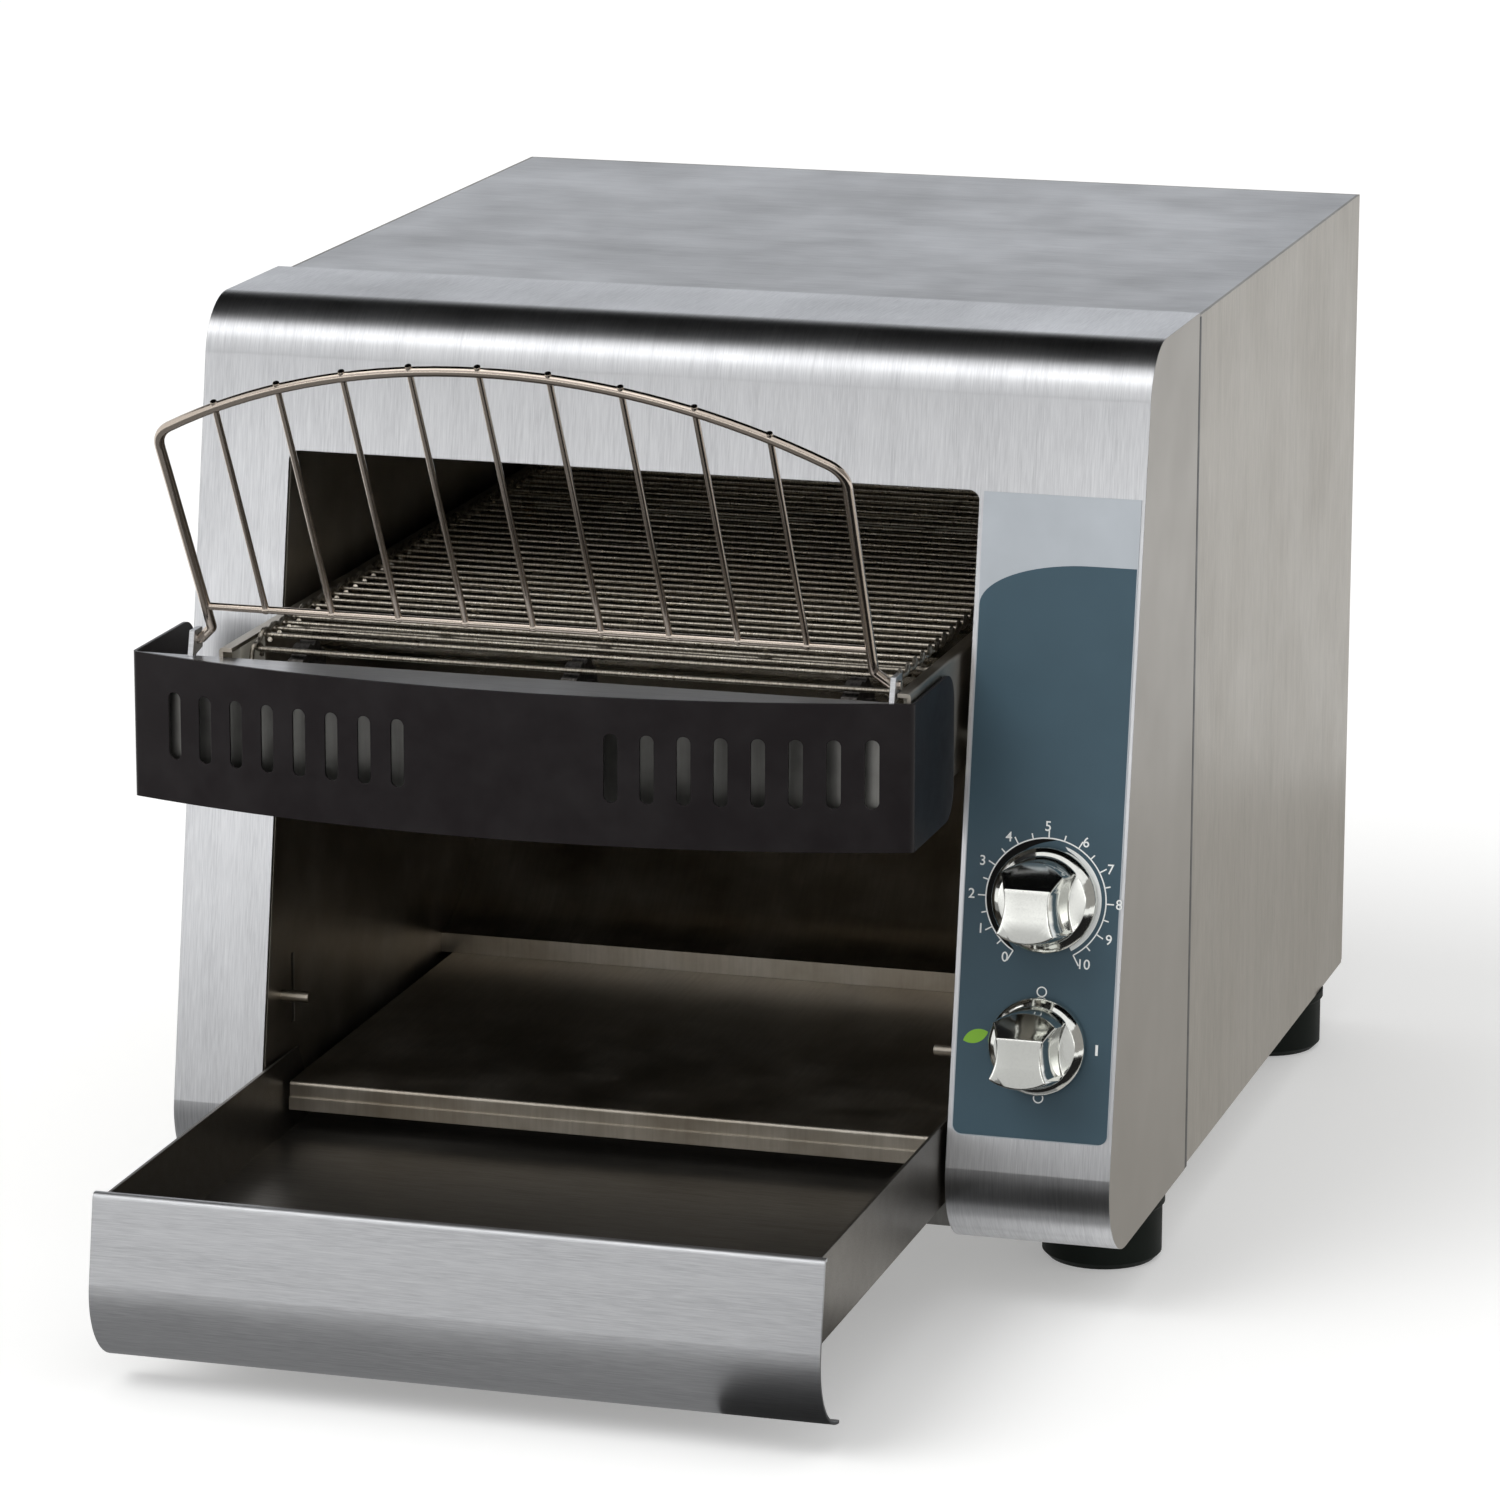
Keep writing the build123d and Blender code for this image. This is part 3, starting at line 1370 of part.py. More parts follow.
PARTS = {
    "front_cover": make_front_cover,
    "left_side_panel": lambda: make_side_panel(-1),
    "right_side_panel": lambda: make_side_panel(1),
    "top_panel": make_top_panel,
    "back_panel": make_back_panel,
    "base_pan": make_base_pan,
    "feet": make_feet,
    "foot_screws": make_foot_screws,
    "left_liner": make_left_liner,
    "right_liner": make_right_liner,
    "chute_pins": make_chute_pins,
    "exit_floor": make_exit_floor,
    "rear_chute": make_rear_chute,
    "upper_reflector": make_upper_reflector,
    "lower_reflector": make_lower_reflector,
    "upper_quartz_tubes": make_upper_tubes,
    "lower_quartz_tubes": make_lower_tubes,
    "heating_coils": make_heating_coils,
    "tube_ceramics": make_tube_ceramics,
    "left_rail": lambda: make_rail(-1),
    "right_rail": lambda: make_rail(1),
    "rail_spacers": make_rail_spacers,
    "front_bearings": make_front_bearings,
    "drive_bearings": make_drive_bearings,
    "front_shaft": make_front_shaft,
    "front_wheels": make_front_wheels,
    "drive_shaft": make_drive_shaft,
    "drive_wheels": make_drive_wheels,
    "wire_belt": make_wire_belt,
    "belt_splice_rod": make_splice_rod,
    "belt_slides": make_belt_slides,
    "bowed_guard": make_bowed_guard,
    "front_bar": make_front_bar,
    "rack_ears": make_rack_ears,
    "wire_rack": make_wire_rack,
    "tray_pan": make_tray_pan,
    "tray_front": make_tray_front,
    "tray_runners": make_tray_runners,
    "control_plate": make_control_plate,
    "speed_knob": lambda: make_knob(speed_knob_z),
    "speed_spindle": lambda: make_spindle(speed_knob_z),
    "speed_control": make_speed_control,
    "power_knob": lambda: make_knob(power_knob_z),
    "power_spindle": lambda: make_spindle(power_knob_z),
    "power_switch": make_power_switch,
    "speed_board": make_speed_board,
    "terminal_block": make_terminal_block,
    "cord_gland": make_cord_gland,
    "driven_chain_wheel": make_driven_wheel,
    "motor_chain_wheel": make_motor_wheel,
    "drive_chain": make_drive_chain,
    "gearmotor": make_gearmotor,
    "motor_shaft": make_motor_shaft,
    "motor_bracket": make_motor_bracket,
    "fan_frame": make_fan_frame,
    "fan_rotor": make_fan_rotor,
    "back_screws": make_back_screws,
}


def write_parts():
    """Build every piece, move it to the centre of the footprint and write its STEP file."""
    os.makedirs("parts", exist_ok=True)
    shapes = {name: make() for name, make in PARTS.items()}
    front = min(shape.bounding_box().min.Y for shape in shapes.values())
    back = max(shape.bounding_box().max.Y for shape in shapes.values())
    place = Pos(0, -(front + back) / 2, foot_height)
    print("datum y", -(front + back) / 2, "depth", back - front)
    for name, shape in shapes.items():
        export_step(place * shape, f"parts/{name}.step")


write_parts()
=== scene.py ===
import json
from math import cos, pi, radians, sin, sqrt

import bmesh
import bpy
from bpy.props import FloatProperty, FloatVectorProperty, IntProperty, PointerProperty
from mathutils import Matrix, Vector


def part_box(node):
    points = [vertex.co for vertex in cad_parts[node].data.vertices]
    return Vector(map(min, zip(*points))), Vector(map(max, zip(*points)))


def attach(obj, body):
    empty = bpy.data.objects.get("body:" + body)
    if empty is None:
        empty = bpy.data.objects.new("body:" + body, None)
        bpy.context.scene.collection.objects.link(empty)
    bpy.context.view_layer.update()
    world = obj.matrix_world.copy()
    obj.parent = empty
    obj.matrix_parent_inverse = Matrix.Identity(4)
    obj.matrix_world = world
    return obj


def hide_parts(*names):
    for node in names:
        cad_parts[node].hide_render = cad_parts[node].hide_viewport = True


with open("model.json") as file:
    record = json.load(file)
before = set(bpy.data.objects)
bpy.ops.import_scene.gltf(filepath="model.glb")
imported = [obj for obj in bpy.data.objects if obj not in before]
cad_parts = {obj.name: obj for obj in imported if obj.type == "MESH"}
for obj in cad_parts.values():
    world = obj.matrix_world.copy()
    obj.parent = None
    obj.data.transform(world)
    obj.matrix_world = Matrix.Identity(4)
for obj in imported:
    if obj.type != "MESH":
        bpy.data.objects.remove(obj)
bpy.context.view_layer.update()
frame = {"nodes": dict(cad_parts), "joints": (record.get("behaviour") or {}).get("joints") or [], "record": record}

bl_info = {
    "name": "Conveyor toaster",
    "version": (1, 0, 0),
    "blender": (4, 5, 0),
    "location": "3D View > Sidebar > Toaster",
    "description": "Finishes, wire belt, coils, control print and studio of a counter conveyor toaster",
    "category": "Object",
}

MM = 0.001
RIGHT = Vector((1, 0, 0))


def linear(code):
    """Linear colour of an sRGB hex code, as shader sockets take it."""
    channels = [int(code[i:i + 2], 16) / 255 for i in (0, 2, 4)]
    return [c / 12.92 if c <= 0.04045 else ((c + 0.055) / 1.055) ** 2.4 for c in channels]


def number(name, description, default, **more):
    """A plain number, an angle or a power a user may change."""
    return FloatProperty(name=name, description=description, default=default, **more)


def size(name, description, default):
    """A length a user may change, in metres."""
    return number(name, description, default, unit="LENGTH", precision=5)


def colour(name, description, code):
    """A colour a user may change."""
    return FloatVectorProperty(name=name, description=description, default=linear(code), size=3, min=0,
                               max=1, subtype="COLOR")


# ---- places read from the frame ----

def joint_place(name):
    """Point on a joint's axis, in metres."""
    return Vector(next(j["pos_m"] for j in frame["joints"] if j["name"] == name))


def joint_axis(name):
    """Direction of a joint's axis."""
    return Vector(next(j["axis"] for j in frame["joints"] if j["name"] == name)).normalized()


def axes_matrix(origin, right, up):
    """Place at a point, with X along right and Y along up; Z is square to both."""
    return Matrix.Translation(origin) @ Matrix((right, up, right.cross(up))).transposed().to_4x4()


def plate_matrix(lift=0.0):
    """Printed face of the control plate, from the speed knob: X right, Y up the slope, Z outwards."""
    outward = joint_axis("speed_dial_turn")
    point = joint_place("speed_dial_turn")
    face = max(outward.dot(v.co) for v in frame["nodes"]["control_plate"].data.vertices)
    return axes_matrix(point + outward * (face + lift - outward.dot(point)), RIGHT, outward.cross(RIGHT))


# ---- settings ----

class ToasterSteel(bpy.types.PropertyGroup):
    """Colours and grain of the stainless sheet."""
    pale: colour("Sheet, bright", "Lighter tone between the grain lines of the brushed sheet", "D8D9DB")
    deep: colour("Sheet, deep", "Darker tone along the grain lines of the brushed sheet", "BEBFC2")
    # The side panels' tones are painted shade: the same sheet as the front, darker, as on sides that catch less
    # light.
    warm: colour("Side sheet, bright", "Lighter tone of the side panels", "ADA9A2")
    dull: colour("Side sheet, deep", "Darker tone of the side panels", "94908A")
    # The pan's tones are painted shade: the same sheet, far darker, for the shaded floor that its walls reflect.
    pan: colour("Tray pan, bright", "Lighter tone of the tray's pan, which crumbs have scoured", "918D87")
    worn: colour("Tray pan, deep", "Darker tone of the tray's pan", "706C66")
    heat: colour("Heat tint", "Straw tint of steel that has been hot", "8A7352")
    grain: size("Grain pitch", "Distance between grain lines, coarser than real grit to show", 0.45 * MM)
    stroke: size("Grain length", "Length of one grain line", 11 * MM)


class ToasterBelt(bpy.types.PropertyGroup):
    """Sizes of the hooked-rod belt."""
    rods: IntProperty(name="Rods", description="Rods round the whole loop", default=76, min=20, max=200)
    teeth: IntProperty(name="Wheel teeth", description="Rods that wrap one whole wheel", default=10, min=6,
                       max=40)
    wire: size("Rod radius", "Radius of the belt's wire", 1.0 * MM)
    inset: size("Hook inset", "How far each hook winds in along the next rod", 3.2 * MM)


class ToasterCoils(bpy.types.PropertyGroup):
    """Sizes of the heating coils."""
    wire: size("Coil wire radius", "Radius of the resistance wire", 0.35 * MM)
    pitch: size("Coil pitch", "Distance from turn to turn, opened up so that the turns show", 2.4 * MM)
    ring: size("Coil radius", "Radius of the coil to the middle of its wire", 1.65 * MM)


class ToasterPrint(bpy.types.PropertyGroup):
    """Sizes and inks of the control plate's print."""
    dial: size("Dial radius", "Radius of the speed dial's ring", 22.75 * MM)
    line: size("Line width", "Width of the ring and the ticks", 0.5 * MM)
    figures: size("Figure height", "Type size of the numbers 0 to 10", 5.2 * MM)
    field: colour("Field", "Slate blue lower field of the plate", "3F5561")
    ground: colour("Ground", "Pale upper part of the plate", "B3B9BF")
    ink: colour("Light ink", "Ring, ticks and numbers", "F2F4F3")
    dark: colour("Dark ink", "Crescent inside the ring", "070707")
    mark: colour("Standby mark", "Plain green mark beside the power knob", "86BC3B")


class ToasterKnobs(bpy.types.PropertyGroup):
    """How much fuller the cast knobs are than their plain solids."""
    skirt: number("Skirt", "Width of the speed knob's skirt against the plain solid", 1.08)
    grip: number("Grip", "Width of the grip against the plain solid", 1.3)


class ToasterRack(bpy.types.PropertyGroup):
    """Places of the welds on the wire rack."""
    lean: number("Lean", "Lean of the rack at rest", radians(30), subtype="ANGLE")
    bars: IntProperty(name="Bars", description="Upright wires of the rack", default=9, min=2, max=40)
    pitch: size("Bar pitch", "Distance from bar to bar", 25.8 * MM)
    cross: size("Cross wire height", "Height of the cross wire above the pivot, up the slope", 16.5 * MM)
    half: size("Half width", "From the middle to the frame wire at the pivot", 126.5 * MM)
    bead: size("Weld bead", "Radius of a spot weld's bead", 1.9 * MM)


class ToasterTrim(bpy.types.PropertyGroup):
    """Sizes of the thin trim: dark strips that paint the shadow in the cover's seams, and the sheet behind the
    guard.
    """
    # The strip and the bead are dark pieces of painted shadow along the cover's seams.
    gasket: size("Gasket width", "Width of the dark gasket behind the cover's side edges", 4.0 * MM)
    bead: size("Seam bead", "Radius of the sealant bead along the cover's rear edge", 0.55 * MM)
    sheet: size("Backing sheet", "Thickness of the sheet behind the guard", 0.8 * MM)
    drop: size("Backing drop", "How far the backing sheet hangs below the front bar", 36 * MM)


class ToasterScrews(bpy.types.PropertyGroup):
    """Sizes of the back panel's screws."""
    head: size("Head radius", "Radius of the pan head", 3.8 * MM)
    rise: size("Head height", "Height of the pan head", 2.2 * MM)
    middle: size("Middle row", "Height of the middle row of screws above the floor", 147 * MM)


class ToasterStudio(bpy.types.PropertyGroup):
    """Floor, light and camera."""
    floor: colour("Floor", "Plain pale floor", "E9E9E8")
    world: number("World light", "Strength of the even light on the object", 0.66)
    key: number("Key light", "Power of the wide front light", 10.5, unit="POWER")
    sun: number("Sun", "Strength of the soft light from the front left", 1.1)
    lens: number("Lens", "Focal length on a 36 mm sensor", 157.468)


# ---- building materials ----

COORDINATES = "ShaderNodeTexCoord"
MAPPING = "ShaderNodeMapping"
NOISE = "ShaderNodeTexNoise"
CELLS = "ShaderNodeTexVoronoi"
RANGE = "ShaderNodeMapRange"
MATHS = "ShaderNodeMath"
PARTS = "ShaderNodeSeparateXYZ"
MIX = "ShaderNodeMix"
EDGE = "ShaderNodeBevel"
BUMP = "ShaderNodeBump"
SHADER = "ShaderNodeBsdfPrincipled"
OUTPUT = "ShaderNodeOutputMaterial"

# Most of a noise lies between these values; the upper bands pick out its peaks, for marks that are rarer.
BODY = {"From Min": 0.3, "From Max": 0.7}
PEAKS = {"From Min": 0.35, "From Max": 0.7}
FEW = {"From Min": 0.4, "From Max": 0.7}


def add(tree, kind, values=(), links=(), **settings):
    """Add one node: settings are its attributes, values the numbers on its sockets, links what feeds them."""
    node = tree.nodes.new(kind)
    for key, value in settings.items():
        setattr(node, key, value)
    for socket, value in dict(values).items():
        node.inputs[socket].default_value = value
    for socket, source in dict(links).items():
        if isinstance(source, bpy.types.Node):
            source = next(output for output in source.outputs if output.enabled)
        tree.links.new(source, node.inputs[socket])
    return node


def new_material(name):
    """Material with an empty node tree."""
    material = bpy.data.materials.new(name)
    material.use_nodes = True
    material.node_tree.nodes.clear()
    return material, material.node_tree


def per_mm(*sizes):
    """Mapping scale that gives one pattern feature per so many millimetres along each axis."""
    return [1 / (MM * s) for s in sizes]


def shade(tone, factor=1.0):
    """A colour made darker or lighter, with the alpha that a colour socket takes."""
    return (*[min(c * factor, 1.0) for c in tone[:3]], 1.0)


def new_finish(name):
    """Material, its tree and the object's own coordinates, by which its patterns keep their real size."""
    material, tree = new_material(name)
    return material, tree, add(tree, COORDINATES).outputs["Object"]


def pattern(tree, place, sizes, detail=3.0, uneven=0.6):
    """Cloudy pattern whose marks have a real size in millimetres: one for all axes, or one for each."""
    sizes = sizes if isinstance(sizes, tuple) else (sizes,) * 3
    marks = add(tree, MAPPING, {"Scale": per_mm(*sizes)}, {"Vector": place})
    return add(tree, NOISE, {"Scale": 1.0, "Detail": detail, "Roughness": uneven}, {"Vector": marks})


def surface(tree, base, gloss, height, bump, depth, edge=0.0, values=(), **links):
    """End of a finish: relief of a depth in millimetres, edges softened in it, the shader and the output."""
    normal = {"Normal": add(tree, EDGE, {"Radius": edge * MM}, samples=4)} if edge else {}
    relief = add(tree, BUMP, {"Strength": bump, "Distance": depth * MM}, {"Height": height, **normal})
    body = add(tree, SHADER, values, {"Base Color": base, "Roughness": gloss, "Normal": relief, **links})
    add(tree, OUTPUT, links={"Surface": body})


def looked_at(tree):
    """One for what the camera, a reflection or a clear tube sees, nothing for what only gives light."""
    ray = add(tree, "ShaderNodeLightPath")
    seen = add(tree, MATHS, links={0: ray.outputs["Is Camera Ray"], 1: ray.outputs["Is Glossy Ray"]},
               operation="MAXIMUM")
    return add(tree, MATHS, links={0: seen, 1: ray.outputs["Is Transmission Ray"]}, operation="MAXIMUM")


# ---- the object's finishes ----

METAL = {"Metallic": 1.0}


def brushed_sheet(name, pale, deep, scratch, along, rough=0.36, painted_side_shade=0.0):
    """Stainless sheet ground with an abrasive belt: short fine scratches in one direction, which draw every
    reflection out across them, faint wider streaks, and a gloss that hands have dulled in patches."""
    streak, palm = tuple(14 * s for s in scratch), 65
    material, tree = new_material(name)
    place = add(tree, COORDINATES)
    spot, normal = place.outputs["Object"], place.outputs["Normal"]
    lines = add(tree, RANGE, BODY, {"Value": pattern(tree, spot, scratch)})
    streaks = add(tree, RANGE, {**PEAKS, "To Max": 0.35}, {"Value": pattern(tree, spot, streak, 2.0, 0.5)})
    gloss = add(tree, RANGE, {**PEAKS, "To Min": rough - 0.02, "To Max": rough + 0.05},
                {"Value": pattern(tree, spot, palm)})
    base = add(tree, MIX, {6: shade(deep), 7: shade(pale)}, {0: lines}, data_type="RGBA")
    base = add(tree, MIX, {7: shade(pale, 1.05)}, {0: streaks, 6: base}, data_type="RGBA")
    if painted_side_shade > 0:
        # Painted shade: faces that look to either side take the side panels' deep tone, as if they caught less
        # light.
        painted_shade_mask = add(tree, MATHS, links={0: add(tree, PARTS, links={0: normal})}, operation="ABSOLUTE")
        painted_shade_mask = add(tree, RANGE, {"From Min": 0.3, "From Max": 0.9}, {"Value": painted_shade_mask})
        dull = shade(bpy.context.scene.toaster_steel.dull, painted_side_shade)
        base = add(tree, MIX, {7: dull}, {0: painted_shade_mask, 6: base}, data_type="RGBA")
    across = add(tree, "ShaderNodeVectorMath", {1: along}, {0: normal}, operation="CROSS_PRODUCT")
    surface(tree, base, gloss, lines, 0.2, 0.02, 0.5, {**METAL, "Anisotropic": 0.6}, Tangent=across)
    return material


def mill_sheet(name, pale, deep, rough=0.4, heat=0.0):
    """Cold-rolled sheet as it leaves the mill: a cloudy even grey with short rolling marks, and on the hot
    walls a straw tint that gathers in patches."""
    pale, deep, tint = linear(pale), linear(deep), bpy.context.scene.toaster_steel.heat
    material, tree, place = new_finish(name)
    cloud = pattern(tree, place, 28, 4.0)
    roll = pattern(tree, place, (1.6, 22, 22))
    marks = add(tree, RANGE, {**FEW, "To Max": 0.35}, {"Value": roll})
    toast = add(tree, RANGE, {**PEAKS, "To Min": 0.3 * heat, "To Max": heat},
                {"Value": pattern(tree, place, (70, 70, 45), 3.0, 0.55)})
    even = add(tree, RANGE, BODY, {"Value": cloud})
    base = add(tree, MIX, {6: shade(deep), 7: shade(pale)}, {0: even}, data_type="RGBA")
    base = add(tree, MIX, {7: shade(deep, 0.8)}, {0: marks, 6: base}, data_type="RGBA")
    base = add(tree, MIX, {7: shade(tint)}, {0: toast, 6: base}, data_type="RGBA")
    gloss = add(tree, RANGE, {**BODY, "To Min": rough - 0.06, "To Max": rough + 0.1}, {"Value": cloud})
    surface(tree, base, gloss, roll, 0.3, 0.02, 0.3, METAL)
    return material


def plating(name, code, rough=0.09, swirl=0.06):
    """Bright nickel-chrome plating over a polished base: mirror gloss with a slow ripple from polishing and
    fine wear that softens it in spots."""
    tone = linear(code)
    material, tree, place = new_finish(name)
    ripple = pattern(tree, place, 9, 2.0, 0.5)
    wear = pattern(tree, place, (0.8, 5, 0.8), 4.0, 0.65)
    spots = add(tree, RANGE, {"From Min": 0.45, "From Max": 0.75, "To Max": 0.5}, {"Value": wear})
    base = add(tree, MIX, {6: shade(tone), 7: shade(tone, 0.84)}, {0: spots}, data_type="RGBA")
    gloss = add(tree, RANGE, {"From Min": 0.35, "From Max": 0.75, "To Min": rough, "To Max": rough + swirl},
                {"Value": wear})
    surface(tree, base, gloss, ripple, 0.25, 0.04, 0.35, METAL)
    return material


def machined(name, pale, deep, pitch=0.5, rough=0.36, grime=0.3):
    """Turned, cut or drawn metal: tool lines, and an oily bloom that darkens it in patches."""
    pale, deep = linear(pale), linear(deep)
    material, tree, place = new_finish(name)
    tool = pattern(tree, place, (pitch, pitch * 3, pitch * 3))
    bloom = pattern(tree, place, 12, 4.0)
    cut = add(tree, RANGE, {"From Min": 0.35, "From Max": 0.65}, {"Value": tool})
    oil = add(tree, RANGE, {**FEW, "To Max": grime}, {"Value": bloom})
    base = add(tree, MIX, {6: shade(deep), 7: shade(pale)}, {0: cut}, data_type="RGBA")
    base = add(tree, MIX, {7: shade(deep, 0.5)}, {0: oil, 6: base}, data_type="RGBA")
    gloss = add(tree, RANGE, {**BODY, "To Min": rough - 0.06, "To Max": rough + 0.12}, {"Value": bloom})
    surface(tree, base, gloss, tool, 0.4, 0.02, 0.25, METAL)
    return material


def enamel(name, code, rough=0.32, shine=0.25):
    """Sprayed and baked enamel: a half gloss with fine orange peel, a little paler where dust settles."""
    tone = linear(code)
    dusty = [c + 0.006 for c in tone]
    material, tree, place = new_finish(name)
    peel = pattern(tree, place, 1.1, 2.0, 0.5)
    dust = pattern(tree, place, 24, 5.0, 0.65)
    settled = add(tree, RANGE, {"From Min": 0.4, "From Max": 0.75}, {"Value": dust})
    base = add(tree, MIX, {6: shade(tone), 7: shade(dusty)}, {0: settled}, data_type="RGBA")
    gloss = add(tree, RANGE, {**BODY, "To Min": rough - 0.05, "To Max": rough + 0.08}, {"Value": dust})
    surface(tree, base, gloss, peel, 0.3, 0.03, 0.4, {"Specular IOR Level": shine})
    return material


def moulded(name, code, rough=0.5, grit=0.5, depth=0.04, mottle=0.15, shine=0.4):
    """Moulded rubber, plastic or pressed ceramic: a fine grit from the mould and a slight mottle."""
    tone = linear(code)
    material, tree, place = new_finish(name)
    mould = pattern(tree, place, grit)
    cloud = pattern(tree, place, 14, 4.0)
    patchy = add(tree, RANGE, PEAKS, {"Value": cloud})
    base = add(tree, MIX, {6: shade(tone, 1 - mottle), 7: shade(tone, 1 + mottle)}, {0: patchy},
               data_type="RGBA")
    gloss = add(tree, RANGE, {**BODY, "To Min": rough - 0.06, "To Max": rough + 0.08}, {"Value": cloud})
    surface(tree, base, gloss, mould, 0.5, depth, 0.6, {"Specular IOR Level": shine})
    return material


def quartz_glass(name):
    """Fused quartz tube: clear, faintly drawn along its length, with a slight milkiness from heat."""
    clear, milky = linear("F4F1EA"), linear("DAD5CB")
    material, tree, place = new_finish(name)
    drawn = pattern(tree, place, (60, 1.2, 1.2))
    milk = pattern(tree, place, (30, 6, 6))
    haze = add(tree, RANGE, PEAKS, {"Value": milk})
    base = add(tree, MIX, {6: shade(clear), 7: shade(milky)}, {0: haze}, data_type="RGBA")
    gloss = add(tree, RANGE, {**PEAKS, "To Min": 0.04, "To Max": 0.2}, {"Value": milk})
    surface(tree, base, gloss, drawn, 0.2, 0.02, values={"IOR": 1.46, "Transmission Weight": 1.0})
    return material


def circuit_laminate(name):
    """Glass-epoxy board under green solder resist: copper runs show paler, tin pads as bright dots."""
    resist, run, pad = linear("1B4A2B"), linear("2C6B3F"), linear("B9BAB4")
    spacing = 2.6
    material, tree, place = new_finish(name)
    layout = add(tree, MAPPING, {"Scale": per_mm(spacing, spacing, spacing)}, {"Vector": place})
    runs = add(tree, CELLS, {"Scale": 1.0, "Randomness": 0.2}, {"Vector": layout}, distance="CHEBYCHEV")
    pads = add(tree, CELLS, {"Scale": 1.0, "Randomness": 0.6}, {"Vector": layout})
    copper = add(tree, RANGE, {"From Min": 0.38, "From Max": 0.42}, {"Value": runs})
    tin = add(tree, RANGE, {"From Min": 0.12, "From Max": 0.16, "To Min": 1.0, "To Max": 0.0},
              {"Value": pads})
    base = add(tree, MIX, {6: shade(run), 7: shade(resist)}, {0: copper}, data_type="RGBA")
    base = add(tree, MIX, {7: shade(pad)}, {0: tin, 6: base}, data_type="RGBA")
    gloss = add(tree, RANGE, {"From Min": 0.3, "From Max": 0.5, "To Min": 0.3, "To Max": 0.45},
                {"Value": runs})
    surface(tree, base, gloss, runs, 0.3, 0.03, values={"Coat Weight": 0.4, "Coat Roughness": 0.15})
    return material


def print_film(name, ink, rough=0.4, shine=0.25):
    """Screen-printed polyester film: even ink over a fine matte tooth that keeps glare down."""
    material, tree, place = new_finish(name)
    tooth = pattern(tree, place, 0.35, 2.0, 0.5)
    even = add(tree, RANGE, BODY, {"Value": pattern(tree, place, 18, 3.0, 0.5)})
    base = add(tree, MIX, {6: shade(ink, 0.96), 7: shade(ink, 1.04)}, {0: even}, data_type="RGBA")
    gloss = add(tree, RANGE, {**BODY, "To Min": rough - 0.04, "To Max": rough + 0.05}, {"Value": tooth})
    surface(tree, base, gloss, tooth, 0.25, 0.01, values={"Specular IOR Level": shine})
    return material


def pale_floor(name):
    """Matt painted studio floor with the faintest roller texture. Where it is looked at it glows a little, so
    that it closes up with the white behind it and keeps the object's shadow."""
    tone = bpy.context.scene.toaster_studio.floor
    material, tree, place = new_finish(name)
    even = add(tree, RANGE, BODY, {"Value": pattern(tree, place, 6, 2.0, 0.5)})
    base = add(tree, MIX, {6: shade(tone, 0.99), 7: shade(tone)}, {0: even}, data_type="RGBA")
    glow = add(tree, RANGE, {"To Max": 0.3}, {"Value": looked_at(tree)})
    paint = add(tree, SHADER, {"Roughness": 0.9, "Specular IOR Level": 0.0, "Emission Color": (1, 1, 1, 1)},
                {"Base Color": base, "Emission Strength": glow})
    add(tree, OUTPUT, links={"Surface": paint})
    return material


FINISHES = {}


